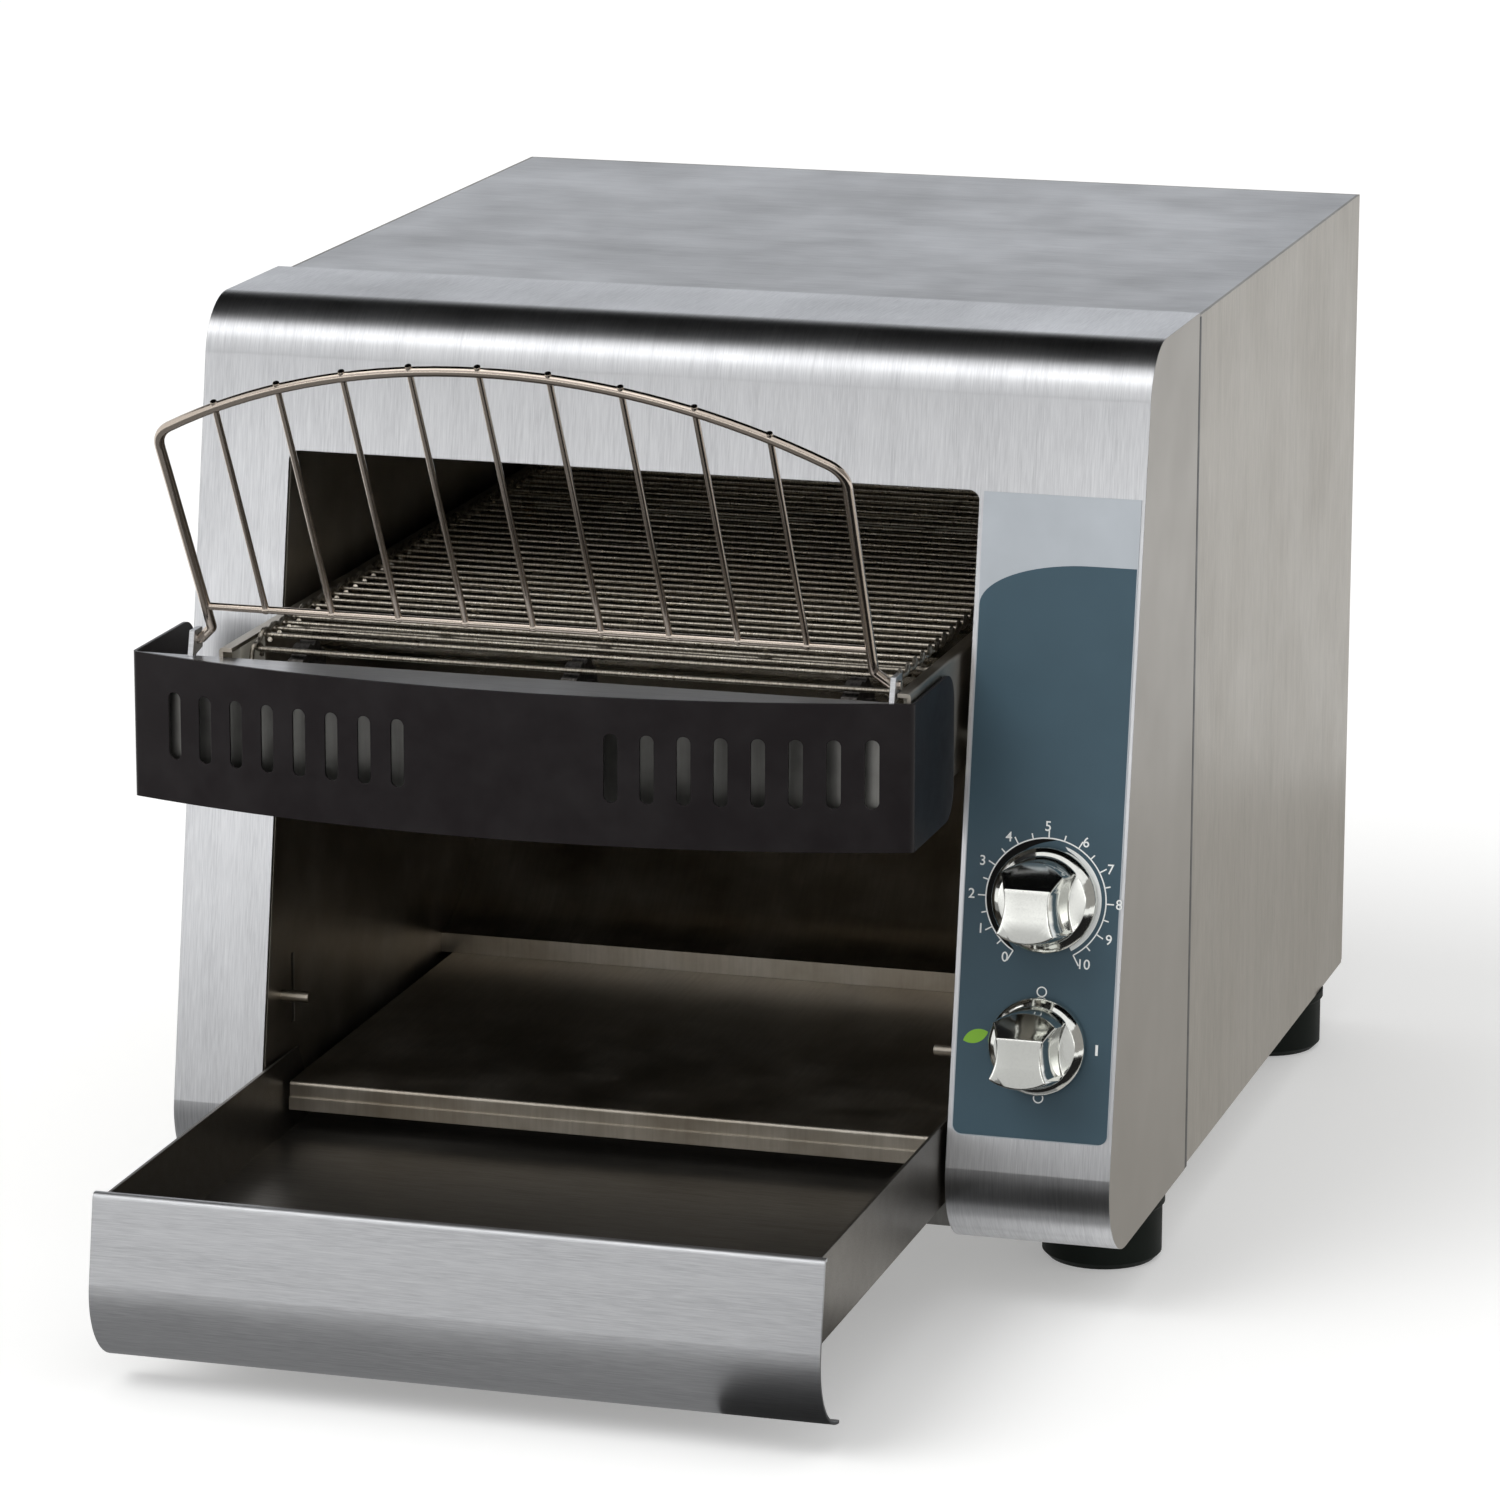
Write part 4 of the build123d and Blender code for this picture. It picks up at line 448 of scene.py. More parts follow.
def make_finishes():
    """Every finish by its slot, and the pan's own."""
    steel = bpy.context.scene.toaster_steel
    film = bpy.context.scene.toaster_print
    fine, long = steel.grain / MM, steel.stroke / MM
    upright, level, rising = (fine, long, long), (long, fine, fine), (long, fine, long)
    # Crossed with a face's normal these lay its grain; a little off the axes, so that no face is left out.
    flow, cross, climb = (0.03, 1, 1), (1, 0.05, 0.03), (0.03, 0.05, 1)
    sheet, side, pan = (steel.pale, steel.deep), (steel.warm, steel.dull), (steel.pan, steel.worn)
    return {
        # The cover's cheeks take the side panels' painted shade.
        "brushed_cover": brushed_sheet("stainless_brushed_upright", *sheet, upright, flow, painted_side_shade=1.12),
        "brushed_side": brushed_sheet("stainless_brushed_side_painted_shade", *side, rising, climb),
        "brushed_top": brushed_sheet("stainless_brushed_across", *sheet, rising, cross, 0.3),
        "brushed_tray": brushed_sheet("stainless_brushed_level", *sheet, level, cross),
        "tray_pan": brushed_sheet("stainless_brushed_pan_painted_shade", *pan, level, cross),
        "brushed_bar": brushed_sheet("stainless_brushed_bar", *sheet, level, cross, 0.3),
        "mill_steel": mill_sheet("steel_mill_plain", "B0AFAB", "8E8D89"),
        "liner_steel": mill_sheet("stainless_mill_heat_toned", "CCC8C0", "AAA59B", 0.34, 0.3),
        "reflector": mill_sheet("stainless_bright_rolled", "C9C7C2", "A9A59C", 0.2, 0.35),
        "zinc": plating("steel_zinc_plated", "B9BBB6", 0.3, 0.14),
        "belt_wire": machined("stainless_drawn_wire", "C8C2B6", "8F877A", 0.6, 0.28),
        "rack_chrome": plating("wire_nickel_chrome", "C6BAAE", 0.12, 0.08),
        "knob_chrome": plating("zinc_casting_chrome_plated", "E6E7E2", 0.07, 0.05),
        "guard_black": enamel("steel_black_enamel", "171214", 0.34, 0.22),
        "overlay": print_film("film_pale_ground", film.ground),
        "foot_rubber": moulded("rubber_moulded_black", "161C18", 0.6, 0.8, 0.06, shine=0.12),
        "quartz": quartz_glass("quartz_drawn_tube"),
        "element": machined("resistance_wire_oxidised", "7A6A5E", "4A3F38", 0.5, 0.5),
        "ceramic": moulded("ceramic_pressed_steatite", "DCD8CC", 0.7, 0.6, 0.05, 0.08),
        "bearing_plastic": moulded("plastic_moulded_ivory", "D9D5C8", 0.42, 0.4, 0.03, 0.06),
        "bronze": machined("bronze_sintered", "B08A50", "8A6A3C", 0.4, 0.4),
        "cast_wheel": machined("steel_cut_wheel", "6C6966", "3E3B39", 0.7, 0.42),
        "chain_steel": machined("steel_oiled_chain", "6A6763", "34312F", 0.8, 0.38, 0.6),
        "motor_grey": enamel("enamel_machine_grey", "74777A", 0.4, 0.5),
        "board_green": circuit_laminate("laminate_green_circuit"),
        "dark_plastic": moulded("plastic_moulded_black", "232323", 0.42, 0.5, 0.04),
    }


# ---- building pieces ----

def new_object(name, data):
    """Object of some data, linked to the scene."""
    thing = bpy.data.objects.new(name, data)
    bpy.context.scene.collection.objects.link(thing)
    return thing


def finish_piece(name, mesh, slot, body, *replaced, finish=None):
    """Object of a mesh that is already in place, finished, riding on its body."""
    mesh.materials.clear()
    mesh.materials.append(finish or FINISHES[slot])
    mesh.name = name
    piece = new_object(name, mesh)
    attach(piece, body)
    if replaced:
        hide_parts(*replaced)


def open_mesh(shape, name):
    """Mesh of a bmesh as it is."""
    mesh = bpy.data.meshes.new(name)
    shape.to_mesh(mesh)
    shape.free()
    return mesh


def close_mesh(shape, name, smooth_angle=35):
    """Mesh of a bmesh with its doubles merged, its faces outwards and its soft edges smooth."""
    bmesh.ops.remove_doubles(shape, verts=shape.verts, dist=0.002 * MM)
    bmesh.ops.recalc_face_normals(shape, faces=shape.faces)
    for face in shape.faces:
        face.smooth = True
    for edge in shape.edges:
        edge.smooth = len(edge.link_faces) == 2 and edge.calc_face_angle(pi) < radians(smooth_angle)
    return open_mesh(shape, name)


def join_meshes(name, parts):
    """One mesh of several, each with its own place; a mesh may come more than once."""
    whole = bmesh.new()
    for mesh, place in parts:
        before = set(whole.verts)
        whole.from_mesh(mesh)
        bmesh.ops.transform(whole, matrix=place, verts=[v for v in whole.verts if v not in before])
    return open_mesh(whole, name)


def plate_mesh(name, sizes, middle, soft, segments):
    """Flat bar or plate with softened edges."""
    plate = bmesh.new()
    bmesh.ops.create_cube(plate, size=1.0)
    bmesh.ops.scale(plate, vec=sizes, verts=plate.verts)
    bmesh.ops.translate(plate, vec=middle, verts=plate.verts)
    bmesh.ops.bevel(plate, geom=plate.edges[:], offset=soft, segments=segments, affect="EDGES",
                    profile=0.5, material=-1)
    return close_mesh(plate, name)


def finished_mesh(thing, *helpers):
    """Mesh of an object as its curve or modifiers leave it; it and its helpers are then removed."""
    bpy.context.view_layer.update()
    mesh = bpy.data.meshes.new_from_object(thing.evaluated_get(bpy.context.evaluated_depsgraph_get()))
    for used in (thing, *helpers):
        bpy.data.objects.remove(used)
    return mesh


def wire_mesh(name, lines, radius, sides=2, steps=4, handles="AUTO"):
    """Round wire along lines of points, smooth or with sharp corners, as a mesh."""
    curve = bpy.data.curves.new(name, "CURVE")
    curve.dimensions = "3D"
    curve.bevel_depth = radius
    curve.bevel_resolution = sides
    curve.resolution_u = steps
    curve.use_fill_caps = True
    for line in lines:
        spline = curve.splines.new("BEZIER")
        spline.bezier_points.add(len(line) - 1)
        for point, place in zip(spline.bezier_points, line):
            point.co = place
            point.handle_left_type = point.handle_right_type = handles
    return finished_mesh(new_object(name, curve))


def flat_mesh(name, outlines, depth=0.04 * MM):
    """Thin plate of closed flat outlines in millimetres; one outline inside another is a hole."""
    curve = bpy.data.curves.new(name, "CURVE")
    curve.dimensions = "2D"
    curve.fill_mode = "BOTH"
    curve.extrude = depth / 2
    for outline in outlines:
        spline = curve.splines.new("POLY")
        spline.points.add(len(outline) - 1)
        for point, (x, y) in zip(spline.points, outline):
            point.co = (x * MM, y * MM, 0, 1)
        spline.use_cyclic_u = True
    return finished_mesh(new_object(name, curve))


def arc(radius, start, end, steps=48, centre=(0, 0)):
    """Points of an arc in millimetres; turns in degrees clockwise from the top, as on a dial."""
    turns = [radians(start + (end - start) * i / steps) for i in range(steps + 1)]
    return [(centre[0] + radius * sin(t), centre[1] + radius * cos(t)) for t in turns]


def crescent(radius, start, end, depths):
    """Outline of an arc and of its way back, which lies inside it by one of the depths at every step."""
    steps = len(depths) - 1
    turns = [radians(end + (start - end) * i / steps) for i in range(steps + 1)]
    back = [((radius - deep) * sin(t), (radius - deep) * cos(t)) for deep, t in zip(depths, turns)]
    return arc(radius, start, end, steps) + back


# ---- operators ----

class TOASTER_OT_finishes(bpy.types.Operator):
    """Give every part of the frame its finish"""
    bl_idname = "toaster.finishes"
    bl_label = "Finish the parts"

    def execute(self, context):
        FINISHES.update(make_finishes())
        slots = {part["node"]: part["material_slot"] for part in frame["record"]["subparts"]}
        slots["tray_pan"] = "tray_pan"      # painted shade: darker tones than the rest of its slot
        for name, node in frame["nodes"].items():
            node.data.materials.clear()
            node.data.materials.append(FINISHES[slots[name]])
        return {"FINISHED"}


class TOASTER_OT_wire_belt(bpy.types.Operator):
    """Build the belt of hooked round rods in place of its plain solid"""
    bl_idname = "toaster.wire_belt"
    bl_label = "Wire belt"

    def execute(self, context):
        belt = context.scene.toaster_belt
        low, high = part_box("wire_belt")
        middle = (low[0] + high[0]) / 2
        reach = (high[0] - low[0]) / 2 - belt.wire
        front, drive = joint_place("front_roller_spin"), joint_place("drive_roller_spin")
        links = (belt.rods - belt.teeth) // 2
        pitch = (drive.y - front.y) / links
        wheel = pitch / (2 * sin(pi / belt.teeth))
        spots = []
        for shaft, far, along in ((front, drive, 1), (drive, front, -1)):
            spots += [(shaft.y + along * i * pitch, shaft.z + along * wheel) for i in range(links)]
            turns = [2 * pi * i / belt.teeth for i in range(belt.teeth // 2)]
            spots += [(far.y + along * wheel * sin(t), shaft.z + along * wheel * cos(t)) for t in turns]
        strand = self.strand(reach, pitch, belt.wire, belt.inset)
        rods = []
        for (y, z), (next_y, next_z) in zip(spots, spots[1:] + spots[:1]):
            along = Vector((0, next_y - y, next_z - z)).normalized()
            rods.append((strand, axes_matrix((middle, y, z), RIGHT, along)))
        finish_piece("hooked_rod_belt", join_meshes("belt_rods", rods), "belt_wire", "frame",
                     "wire_belt", "belt_splice_rod")
        return {"FINISHED"}

    def strand(self, reach, pitch, wire, inset):
        """One rod whose ends turn along the belt and wind once round the next rod."""
        bend, corner, leg = 3.2 * MM, 0.7 * MM, 3.0 * MM
        # The leg ends short of the next rod and rises into the hook, which just clears that rod.
        short, lean, wind = 4.4 * MM, 0.2 * MM, 2.05 * wire
        rise = 0.55 * wind
        end = [(reach - bend, 0, 0), (reach - corner, corner, 0), (reach, leg, 0), (reach, pitch - short, 0),
               (reach - lean, pitch - wind, rise)]
        turns = [radians(turn) for turn in (90, 30, -30, -90, -150)]
        end += [(reach - inset * (i + 1) / len(turns), pitch + wind * cos(turn), wind * sin(turn))
                for i, turn in enumerate(turns)]
        line = [(-x, y, z) for x, y, z in reversed(end)] + end
        mesh = wire_mesh("belt_rod", [line], wire, 1, 3)
        for face in mesh.polygons:
            face.use_smooth = True
        return mesh


class TOASTER_OT_heating_coils(bpy.types.Operator):
    """Wind a coil inside every quartz tube"""
    bl_idname = "toaster.heating_coils"
    bl_label = "Heating coils"

    def execute(self, context):
        coils = context.scene.toaster_coils
        low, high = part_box("heating_coils")
        turns, steps = int((high[0] - low[0]) / coils.pitch) - 1, 8
        coil = bmesh.new()
        bmesh.ops.create_circle(coil, segments=5, radius=coils.wire)
        start = Matrix.Translation((coils.wire * 2, coils.ring, 0))
        bmesh.ops.transform(coil, matrix=start, verts=coil.verts)
        bmesh.ops.spin(coil, geom=coil.edges[:] + coil.verts[:], cent=(0, 0, 0), axis=(1, 0, 0),
                       dvec=(coils.pitch / steps, 0, 0), angle=2 * pi * turns, steps=steps * turns)
        bmesh.ops.holes_fill(coil, edges=coil.edges, sides=6)
        wound = close_mesh(coil, "coil", 80)
        places = []
        for node in ("upper_quartz_tubes", "lower_quartz_tubes"):
            first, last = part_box(node)
            tube = (last[2] - first[2]) / 2
            for y in (first[1] + tube, (first[1] + last[1]) / 2, last[1] - tube):
                places.append((wound, Matrix.Translation((low[0], y, first[2] + tube))))
        finish_piece("wound_heating_coils", join_meshes("coils", places), "element", "frame",
                     "heating_coils")
        return {"FINISHED"}


class TOASTER_OT_control_print(bpy.types.Operator):
    """Print the control plate: field, dial, numbers and plain switch marks"""
    bl_idname = "toaster.control_print"
    bl_label = "Control print"

    def execute(self, context):
        art = context.scene.toaster_print
        below = (plate_matrix().inverted() @ joint_place("power_dial_turn")).y / MM
        prints = (
            ("control_field", self.field(below), print_film("film_slate_field", art.field), 0.03),
            ("dial_lines", self.dial(art, below), print_film("ink_white_line", art.ink, 0.45), 0.08),
            ("dial_shade", self.shadow(art), print_film("ink_black_crescent", art.dark, 0.45, 0.1), 0.08),
            ("standby_mark", self.mark(below), print_film("ink_green_mark", art.mark, 0.45), 0.08),
        )
        for name, mesh, ink, lift in prints:
            mesh.transform(plate_matrix(lift * MM))
            finish_piece(name, mesh, "overlay", "frame", finish=ink)
        return {"FINISHED"}

    def field(self, below):
        """Field with two round corners and an oval shoulder on its left, open round both spindles."""
        margin, corner, strip, hole = 0.4, 3.4, 25.4, 5.2
        wide, tall = 41.5, 16.2
        low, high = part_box("control_plate")
        knob = joint_place("speed_dial_turn")
        slope = sqrt(1 - joint_axis("speed_dial_turn").z ** 2)
        left, right = (low[0] - knob.x) / MM + margin, (high[0] - knob.x) / MM - margin
        bottom, top = (low[2] - knob.z) / MM / slope + margin, (high[2] - knob.z) / MM / slope - strip
        outline = arc(corner, 270, 180, 8, (left + corner, bottom + corner))
        outline += arc(corner, 180, 90, 8, (right - corner, bottom + corner))
        outline.append((right, top))
        turns = [radians(5 * i) for i in range(19)]
        outline += [(left + wide * (1 - sin(t)), top - tall * (1 - cos(t))) for t in turns]
        return flat_mesh("field", [outline] + [arc(hole, 0, 360, 31, (0, y)) for y in (0, below)])

    def dial(self, art, below):
        """White ring, ticks, numbers, crescent and switch marks as one thin mesh."""
        rim, half, end = art.dial / MM, art.line / MM / 2, 150
        at_end, at_number, between = 4.4, 3.0, 2.2
        shapes = [[arc(rim + half, -end, end, 90) + arc(rim - half, end, -end, 90)]]
        for i in range(21):
            turn = radians(end * (i - 10) / 10)
            length = at_end if i in (0, 20) else between if i % 2 else at_number
            out, side = Vector((sin(turn), cos(turn))), Vector((cos(turn), -sin(turn))) * half
            near, far = out * rim, out * (rim + length)
            shapes.append([[near - side, far - side, far + side, near + side]])
        inside, band = 1.7, [0.1 + 2.4 * (1 - i / 40) ** 0.3 for i in range(41)]
        shapes.append([crescent(rim - inside, 18, end, band)])
        for spot in ((0.3, below + 20.1), (1.0, below - 19.3)):
            shapes.append([arc(radius, 0, 360, 31, spot) for radius in (2.0, 1.5)])
        bar = ((-0.5, -2), (0.5, -2), (0.5, 2), (-0.5, 2))
        shapes.append([[(22.1 + x, below + 0.1 + y) for x, y in bar]])
        plates = [(flat_mesh("line", shape), Matrix()) for shape in shapes]
        # Middle of each number from 0 to 10.
        spots = ((-14.4, -22.4), (-24.1, -12.5), (-28.2, 0.2), (-24.6, 12.7), (-15.1, 22.1), (-0.5, 27.0),
                 (14.1, 22.0), (23.8, 12.7), (27.7, -0.1), (24.5, -13.3), (15.4, -23.0))
        for number, (x, y) in enumerate(spots):
            letters = bpy.data.curves.new("figure", "FONT")
            letters.body = str(number)
            letters.size = art.figures
            letters.align_x = letters.align_y = "CENTER"
            letters.extrude = 0.02 * MM
            letters.offset = 0.04 * MM
            place = Matrix.Translation((x * MM, y * MM, 0))
            plates.append((finished_mesh(new_object("figure", letters)), place))
        return join_meshes("dial", plates)

    def shadow(self, art):
        """Dark crescent inside the ring's left half, as in a shallow dish."""
        deep, steps = 3.7, 44
        depths = [deep * max(0, sin(pi * i / steps)) ** 0.7 for i in range(steps + 1)]
        return flat_mesh("shade", [crescent((art.dial - art.line / 2) / MM, -152, 8, depths)])

    def mark(self, below):
        """Plain lens between two equal arcs, tilted, beside the power knob."""
        radius, sunk, tilt, spot = 6.4, 3.94, radians(22), Vector((-23.9, below + 1.8))
        lens = arc(radius, 52, -52, 20, (0, -sunk)) + arc(radius, 232, 128, 20, (0, sunk))
        return flat_mesh("mark", [[Matrix.Rotation(tilt, 2) @ Vector(point) + spot for point in lens]])


class TOASTER_OT_chrome_knobs(bpy.types.Operator):
    """Cast the two chrome knobs with a wide waisted grip and a fuller skirt on the speed knob"""
    bl_idname = "toaster.chrome_knobs"
    bl_label = "Chrome knobs"

    def execute(self, context):
        knob = context.scene.toaster_knobs
        bodies = frame["record"]["behaviour"]["bodies"]
        flat = 0.2      # share of a knob's height that its skirt takes; the grip is full half way up the rest
        for name, joint, skirt in (("speed_knob", "speed_dial_turn", knob.skirt),
                                   ("power_knob", "power_dial_turn", 1.0)):
            place = axes_matrix(joint_place(joint), RIGHT, joint_axis(joint).cross(RIGHT))
            cast = bmesh.new()
            cast.from_mesh(frame["nodes"][name].data)
            bmesh.ops.transform(cast, matrix=place.inverted(), verts=cast.verts)
            foot = min(v.co.z for v in cast.verts)
            head = max(v.co.z for v in cast.verts)
            for vert in cast.verts:
                rise = max(0.0, (vert.co.z - foot) / (head - foot) - flat) / (1 - flat)
                vert.co.x *= skirt + (knob.grip - skirt) * min(1.0, 2.0 * rise)
                vert.co.y *= skirt
            bmesh.ops.transform(cast, matrix=place, verts=cast.verts)
            body = next(body for body, nodes in bodies.items() if name in nodes)
            finish_piece(f"cast_{name}", close_mesh(cast, name), "knob_chrome", body, name)
        return {"FINISHED"}


class TOASTER_OT_rack_welds(bpy.types.Operator):
    """Add the spot welds where the rack's wires cross"""
    bl_idname = "toaster.rack_welds"
    bl_label = "Rack welds"

    def execute(self, context):
        rack = context.scene.toaster_rack
        bead = bmesh.new()
        bmesh.ops.create_icosphere(bead, subdivisions=2, radius=rack.bead)
        bmesh.ops.scale(bead, vec=(1.0, 0.9, 1.0), verts=bead.verts)
        weld = close_mesh(bead, "bead", 60)
        plane = axes_matrix(joint_place("rack_fold"), RIGHT, Vector((0, -sin(rack.lean), cos(rack.lean))))
        across = [(i - (rack.bars - 1) / 2) * rack.pitch for i in range(rack.bars)]
        spots = [(weld, plane @ Matrix.Translation((x, rack.cross, 0)))
                 for x in [-rack.half, *across, rack.half]]
        finish_piece("rack_weld_beads", join_meshes("beads", spots), "rack_chrome", "rack")
        return {"FINISHED"}


class TOASTER_OT_thin_trim(bpy.types.Operator):
    """Paint the shadow in the cover's seams with dark strips and hang the sheet behind the guard"""
    bl_idname = "toaster.thin_trim"
    bl_label = "Seams and backing sheet"

    def execute(self, context):
        trim = context.scene.toaster_trim
        self.seal_cover(trim)
        self.back_guard(trim)
        return {"FINISHED"}

    def seal_cover(self, trim):
        """Dark bead round the cover's rear edge and a dark strip on each side: painted shadow in its seams."""
        cover_low, cover_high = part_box("front_cover")
        left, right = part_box("left_side_panel")[0][0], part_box("right_side_panel")[1][0]
        foot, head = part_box("right_side_panel")[0][2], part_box("top_panel")[1][2]
        seam = cover_high[1]
        line = [(left, seam, foot), (left, seam, head), (right, seam, head), (right, seam, foot)]
        seam_shadows = [(wire_mesh("bead", [line], trim.bead, 1, 1, "VECTOR"), Matrix())]
        for outer, inner in ((cover_low[0], left), (cover_high[0], right)):
            # The dark strip lies a twentieth of its thickness below the cover's face.
            middle = ((0.9 * outer + 1.1 * inner) / 2, seam + trim.gasket / 2, (foot + head) / 2)
            sizes = (abs(outer - inner), trim.gasket, head - foot)
            seam_shadows.append((plate_mesh("gasket", sizes, middle, 0.12 * MM, 2), Matrix()))
        finish_piece("cover_seam_painted_shadow", join_meshes("seam_shadows", seam_shadows), "dark_plastic", "frame")

    def back_guard(self, trim):
        """Sheet that hangs from the front bar's web and closes the guard's slots from behind."""
        web, play, lap = 1.2 * MM, 4 * MM, 6 * MM
        low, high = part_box("front_bar")
        sizes = (high[0] - low[0] - 2 * play, trim.sheet, trim.drop + lap)
        middle = ((low[0] + high[0]) / 2, high[1] - web - trim.sheet / 2, low[2] + (lap - trim.drop) / 2)
        finish_piece("guard_backing_sheet", plate_mesh("backing", sizes, middle, 0.2 * MM, 1),
                     "mill_steel", "frame")


class TOASTER_OT_back_screws(bpy.types.Operator):
    """Put cross-slotted pan heads in the back panel"""
    bl_idname = "toaster.back_screws"
    bl_label = "Back screws"

    def execute(self, context):
        screws = context.scene.toaster_screws
        low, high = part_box("back_screws")
        screw = self.slotted(self.pan_head(screws, high[1] - low[1]), self.slots(screws))
        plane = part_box("back_panel")[1][1]
        columns = (low[0] + screws.head, high[0] - screws.head)
        rows = (low[2] + screws.head, screws.middle, high[2] - screws.head)
        turn = radians(25)
        places = [(screw, Matrix.Translation((x, plane, z)) @ Matrix.Rotation(turn * (i + j * 2), 4, "Y"))
                  for i, x in enumerate(columns) for j, z in enumerate(rows)]
        finish_piece("cross_head_screws", join_meshes("screws", places), "zinc", "frame", "back_screws")
        return {"FINISHED"}

    def pan_head(self, screws, length):
        """Domed head on its shank, turned about Y from a profile in shares of its radius and height."""
        shank, tip = 0.55, 1 - length / screws.rise
        profile = [(0, 1.0), (0.35, 0.99), (0.62, 0.9), (0.84, 0.68), (0.97, 0.34), (1.0, 0.0),
                   (shank, 0.0), (shank, tip), (0, tip)]
        head = bmesh.new()
        line = [head.verts.new((r * screws.head, h * screws.rise, 0)) for r, h in profile]
        edges = [head.edges.new(pair) for pair in zip(line, line[1:])]
        bmesh.ops.spin(head, geom=line + edges, cent=(0, 0, 0), axis=(0, 1, 0), angle=2 * pi, steps=28,
                       use_merge=True)
        return close_mesh(head, "screw")

    def slots(self, screws):
        """Two crossed bars at the top of the head."""
        sizes = (4.2 * MM, 2.4 * MM, 0.9 * MM)
        slots = bmesh.new()
        for turn in (0, pi / 2):
            arm = bmesh.ops.create_cube(slots, size=1.0)["verts"]
            bmesh.ops.scale(slots, vec=sizes, verts=arm)
            bmesh.ops.rotate(slots, cent=(0, 0, 0), matrix=Matrix.Rotation(turn, 3, "Y"), verts=arm)
        bmesh.ops.translate(slots, vec=(0, screws.rise, 0), verts=slots.verts)
        return close_mesh(slots, "slots")

    def slotted(self, head_mesh, slots_mesh):
        """Mesh of the head with the slots cut out of it."""
        head, cutter = new_object("head", head_mesh), new_object("cutter", slots_mesh)
        cut = head.modifiers.new("slots", "BOOLEAN")
        cut.operation = "DIFFERENCE"
        cut.solver = "EXACT"
        cut.use_self = True
        cut.object = cutter
        mesh = finished_mesh(head, cutter)
        if not mesh.polygons:
            raise RuntimeError("the slots took the whole screw head away")
        return mesh


# Cards that only metal sees: width and height, middle, tilt from lying flat, turn to the right, and tone.
CARDS = {
    "overhead_flag": ((6.0, 4.5), (0.0, 1.65, 2.0), 0, 0, "060606"),  # dark ceiling
    "side_floor_painted_shadow": ((0.5, 0.95), (0.44, 0.225, 0.004), 0, 0, "D2D0CC"),  # painted shadow of the body on the floor beside it
    "column_floor_painted_shadow": ((0.52, 0.54), (0.34, -0.43, 0.006), 0, 0, "202020"),  # painted shadow on the floor at the front right
    "line_flag": ((3.2, 0.2), (0.0, -1.5, 0.61), 90, 0, "101010"),  # dark line over the graded wall
    "front_floor_painted_shadow": ((1.7, 1.26), (-0.15, -0.77, 0.004), 0, 0, "888888"),  # painted shadow on the floor before the front
    "back_card": ((10.0, 1.8), (0.0, 4.0, 0.9), 90, 0, "F2F5FA"),  # bright wall far behind
    "graded_card": ((3.2, 0.5), (0.0, -1.5, 0.25), 90, 0, "FFFFFF"),  # graded wall before the front
    "right_card": ((2.4, 1.1), (1.6, -0.3, 0.55), 90, 90, "9C9A97"),  # grey wall at the right
}


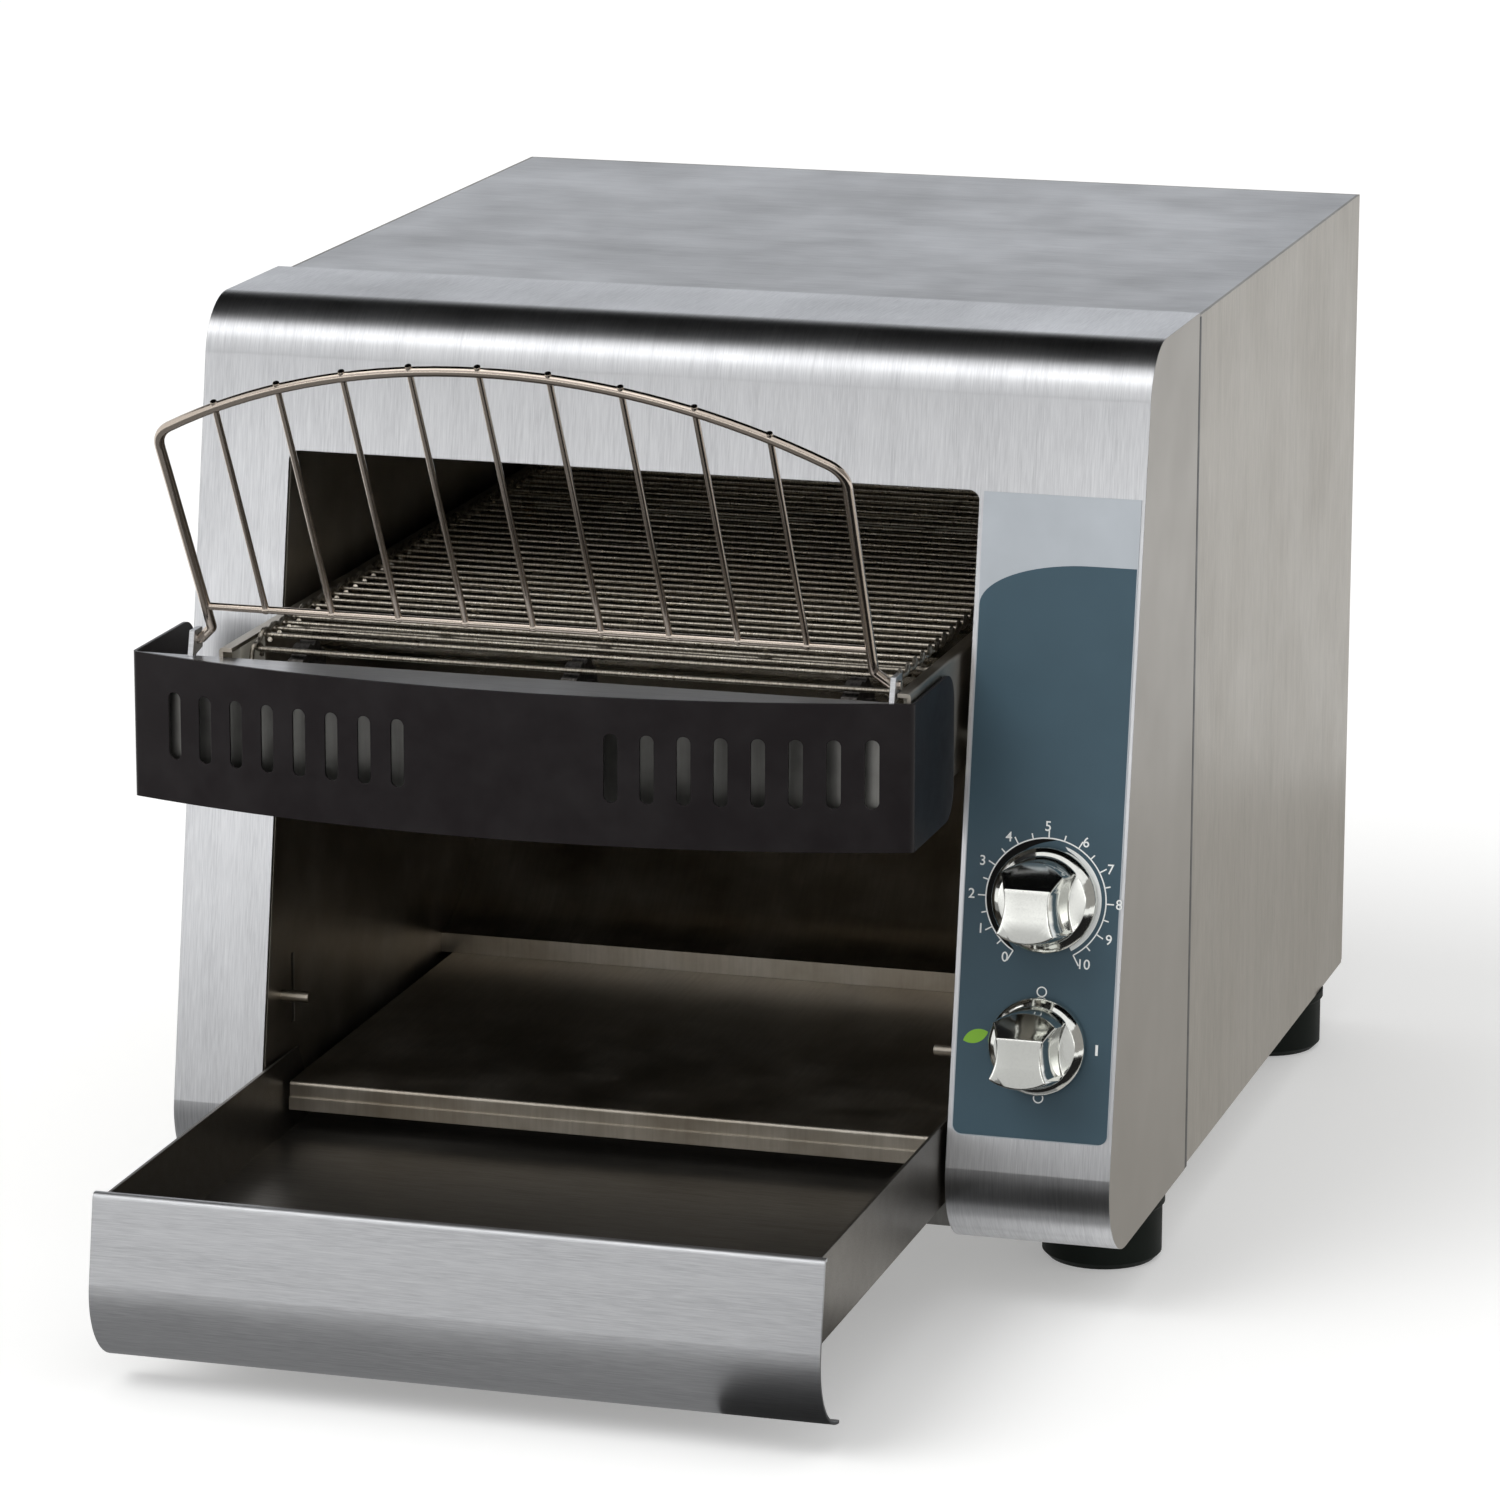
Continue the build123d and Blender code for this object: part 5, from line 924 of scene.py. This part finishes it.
class TOASTER_OT_studio(bpy.types.Operator):
    """Lay the pale floor, set the soft light and the camera"""
    bl_idname = "toaster.studio"
    bl_label = "Studio"

    def execute(self, context):
        studio = context.scene.toaster_studio
        reach = 16.0
        ground = bmesh.new()
        bmesh.ops.create_circle(ground, cap_ends=True, segments=64, radius=reach)
        floor = new_object("studio_floor", open_mesh(ground, "floor"))
        floor.data.materials.append(pale_floor("paint_matt_floor"))
        for name, card in CARDS.items():
            self.card(name, *card)
        self.world(context, studio.world)
        self.lamps(studio)
        self.camera(context, studio.lens)
        context.scene.view_settings.view_transform = "Standard"
        return {"FINISHED"}

    def card(self, name, sizes, place, tilt, turn, code):
        """Plain card that only reflections see."""
        sheet = bmesh.new()
        bmesh.ops.create_grid(sheet, x_segments=1, y_segments=1, size=0.5)
        bmesh.ops.scale(sheet, vec=(*sizes, 1), verts=sheet.verts)
        material, tree = new_material(name)
        glow = add(tree, "ShaderNodeEmission", {"Color": shade(linear(code))})
        add(tree, OUTPUT, links={"Surface": glow})
        if name == "graded_card":
            self.grade(tree, glow)
        card = new_object(name, open_mesh(sheet, name))
        card.data.materials.append(material)
        card.location = place
        card.rotation_euler = (radians(tilt), 0, radians(turn))
        card.visible_camera = card.visible_diffuse = False
        card.visible_shadow = card.visible_transmission = False

    def grade(self, tree, glow):
        """Dim foot and bright head, with a long soft step on the right and a short one on the left."""
        place = add(tree, PARTS, links={0: add(tree, COORDINATES).outputs["Object"]})
        across, height = place.outputs[0], place.outputs[1]
        left = add(tree, RANGE, {"From Min": -0.07, "From Max": 0.05, "To Min": 0.7, "To Max": 2.0},
                   {"Value": height})
        right = add(tree, RANGE, {"From Min": -0.05, "From Max": 0.2, "To Min": 0.6, "To Max": 2.3},
                    {"Value": height})
        side = add(tree, RANGE, {"From Min": -0.5, "From Max": -0.24}, {"Value": across})
        both = add(tree, MIX, links={0: side, 2: left, 3: right})
        tree.links.new(both.outputs[0], glow.inputs["Strength"])

    def world(self, context, strength):
        """Even light, and plain white wherever the scene is looked past."""
        world = bpy.data.worlds.new("studio_world")
        world.use_nodes = True
        context.scene.world = world
        tree = world.node_tree
        tree.nodes.clear()
        even = add(tree, "ShaderNodeBackground", {"Color": (1, 1, 1, 1), "Strength": strength})
        white = add(tree, "ShaderNodeBackground", {"Color": (1, 1, 1, 1), "Strength": 1.0})
        both = add(tree, "ShaderNodeMixShader", links={0: looked_at(tree), 1: even, 2: white})
        add(tree, "ShaderNodeOutputWorld", links={"Surface": both})

    def lamps(self, studio):
        """A wide soft box above the front, and a very soft sun from the front left that metal doesn't see."""
        box = bpy.data.lights.new("key_light", "AREA")
        box.shape = "RECTANGLE"
        box.size, box.size_y = 3.2, 0.9
        box.energy = studio.key
        sun = bpy.data.lights.new("soft_sun", "SUN")
        sun.angle = radians(40)
        sun.energy = studio.sun
        aim = Vector((0, 0, 0.2))
        for data, place in ((box, (-0.7, -1.65, 2.3)), (sun, (-1.4, -1.6, 2.4))):
            lamp = new_object(data.name, data)
            lamp.location = place
            lamp.rotation_euler = (aim - lamp.location).to_track_quat("-Z", "Y").to_euler()
            lamp.visible_glossy = data is box

    def camera(self, context, lens):
        """Camera to the right of the front, a little above."""
        place = (0.70982, -2.407452, 0.787508)
        turn, height, roll = radians(16.2909), radians(13.7089), radians(0.0989)
        back = Vector((sin(turn) * cos(height), -cos(turn) * cos(height), sin(height)))
        right = Vector((cos(turn), sin(turn), 0))
        up = back.cross(right)
        data = bpy.data.cameras.new("camera")
        data.lens = lens
        data.sensor_width = 36
        data.clip_end = 60
        camera = new_object("camera", data)
        camera.matrix_world = axes_matrix(place, right * cos(roll) + up * sin(roll),
                                          up * cos(roll) - right * sin(roll))
        context.scene.camera = camera


class TOASTER_PT_panel(bpy.types.Panel):
    """Lists the toaster's pieces and settings"""
    bl_idname = "TOASTER_PT_panel"
    bl_label = "Conveyor toaster"
    bl_space_type = "VIEW_3D"
    bl_region_type = "UI"
    bl_category = "Toaster"

    def draw(self, context):
        for operator in OPERATORS:
            self.layout.operator(operator.bl_idname, text=operator.bl_label)
        for name, group in SETTINGS.items():
            box = self.layout.box()
            for key in group.__annotations__:
                box.prop(getattr(context.scene, name), key)


SETTINGS = {
    "toaster_steel": ToasterSteel,
    "toaster_belt": ToasterBelt,
    "toaster_coils": ToasterCoils,
    "toaster_print": ToasterPrint,
    "toaster_knobs": ToasterKnobs,
    "toaster_rack": ToasterRack,
    "toaster_trim": ToasterTrim,
    "toaster_screws": ToasterScrews,
    "toaster_studio": ToasterStudio,
}
OPERATORS = (
    TOASTER_OT_finishes,
    TOASTER_OT_wire_belt,
    TOASTER_OT_heating_coils,
    TOASTER_OT_control_print,
    TOASTER_OT_chrome_knobs,
    TOASTER_OT_rack_welds,
    TOASTER_OT_thin_trim,
    TOASTER_OT_back_screws,
    TOASTER_OT_studio,
)


def register():
    for name, group in SETTINGS.items():
        bpy.utils.register_class(group)
        setattr(bpy.types.Scene, name, PointerProperty(type=group))
    for operator in OPERATORS:
        bpy.utils.register_class(operator)
    bpy.utils.register_class(TOASTER_PT_panel)


def unregister():
    bpy.utils.unregister_class(TOASTER_PT_panel)
    for operator in reversed(OPERATORS):
        bpy.utils.unregister_class(operator)
    for name, group in SETTINGS.items():
        delattr(bpy.types.Scene, name)
        bpy.utils.unregister_class(group)


def main():
    """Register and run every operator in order."""
    register()
    bpy.ops.toaster.finishes()
    bpy.ops.toaster.wire_belt()
    bpy.ops.toaster.heating_coils()
    bpy.ops.toaster.control_print()
    bpy.ops.toaster.chrome_knobs()
    bpy.ops.toaster.rack_welds()
    bpy.ops.toaster.thin_trim()
    bpy.ops.toaster.back_screws()
    bpy.ops.toaster.studio()


if __name__ == "__main__":
    main()
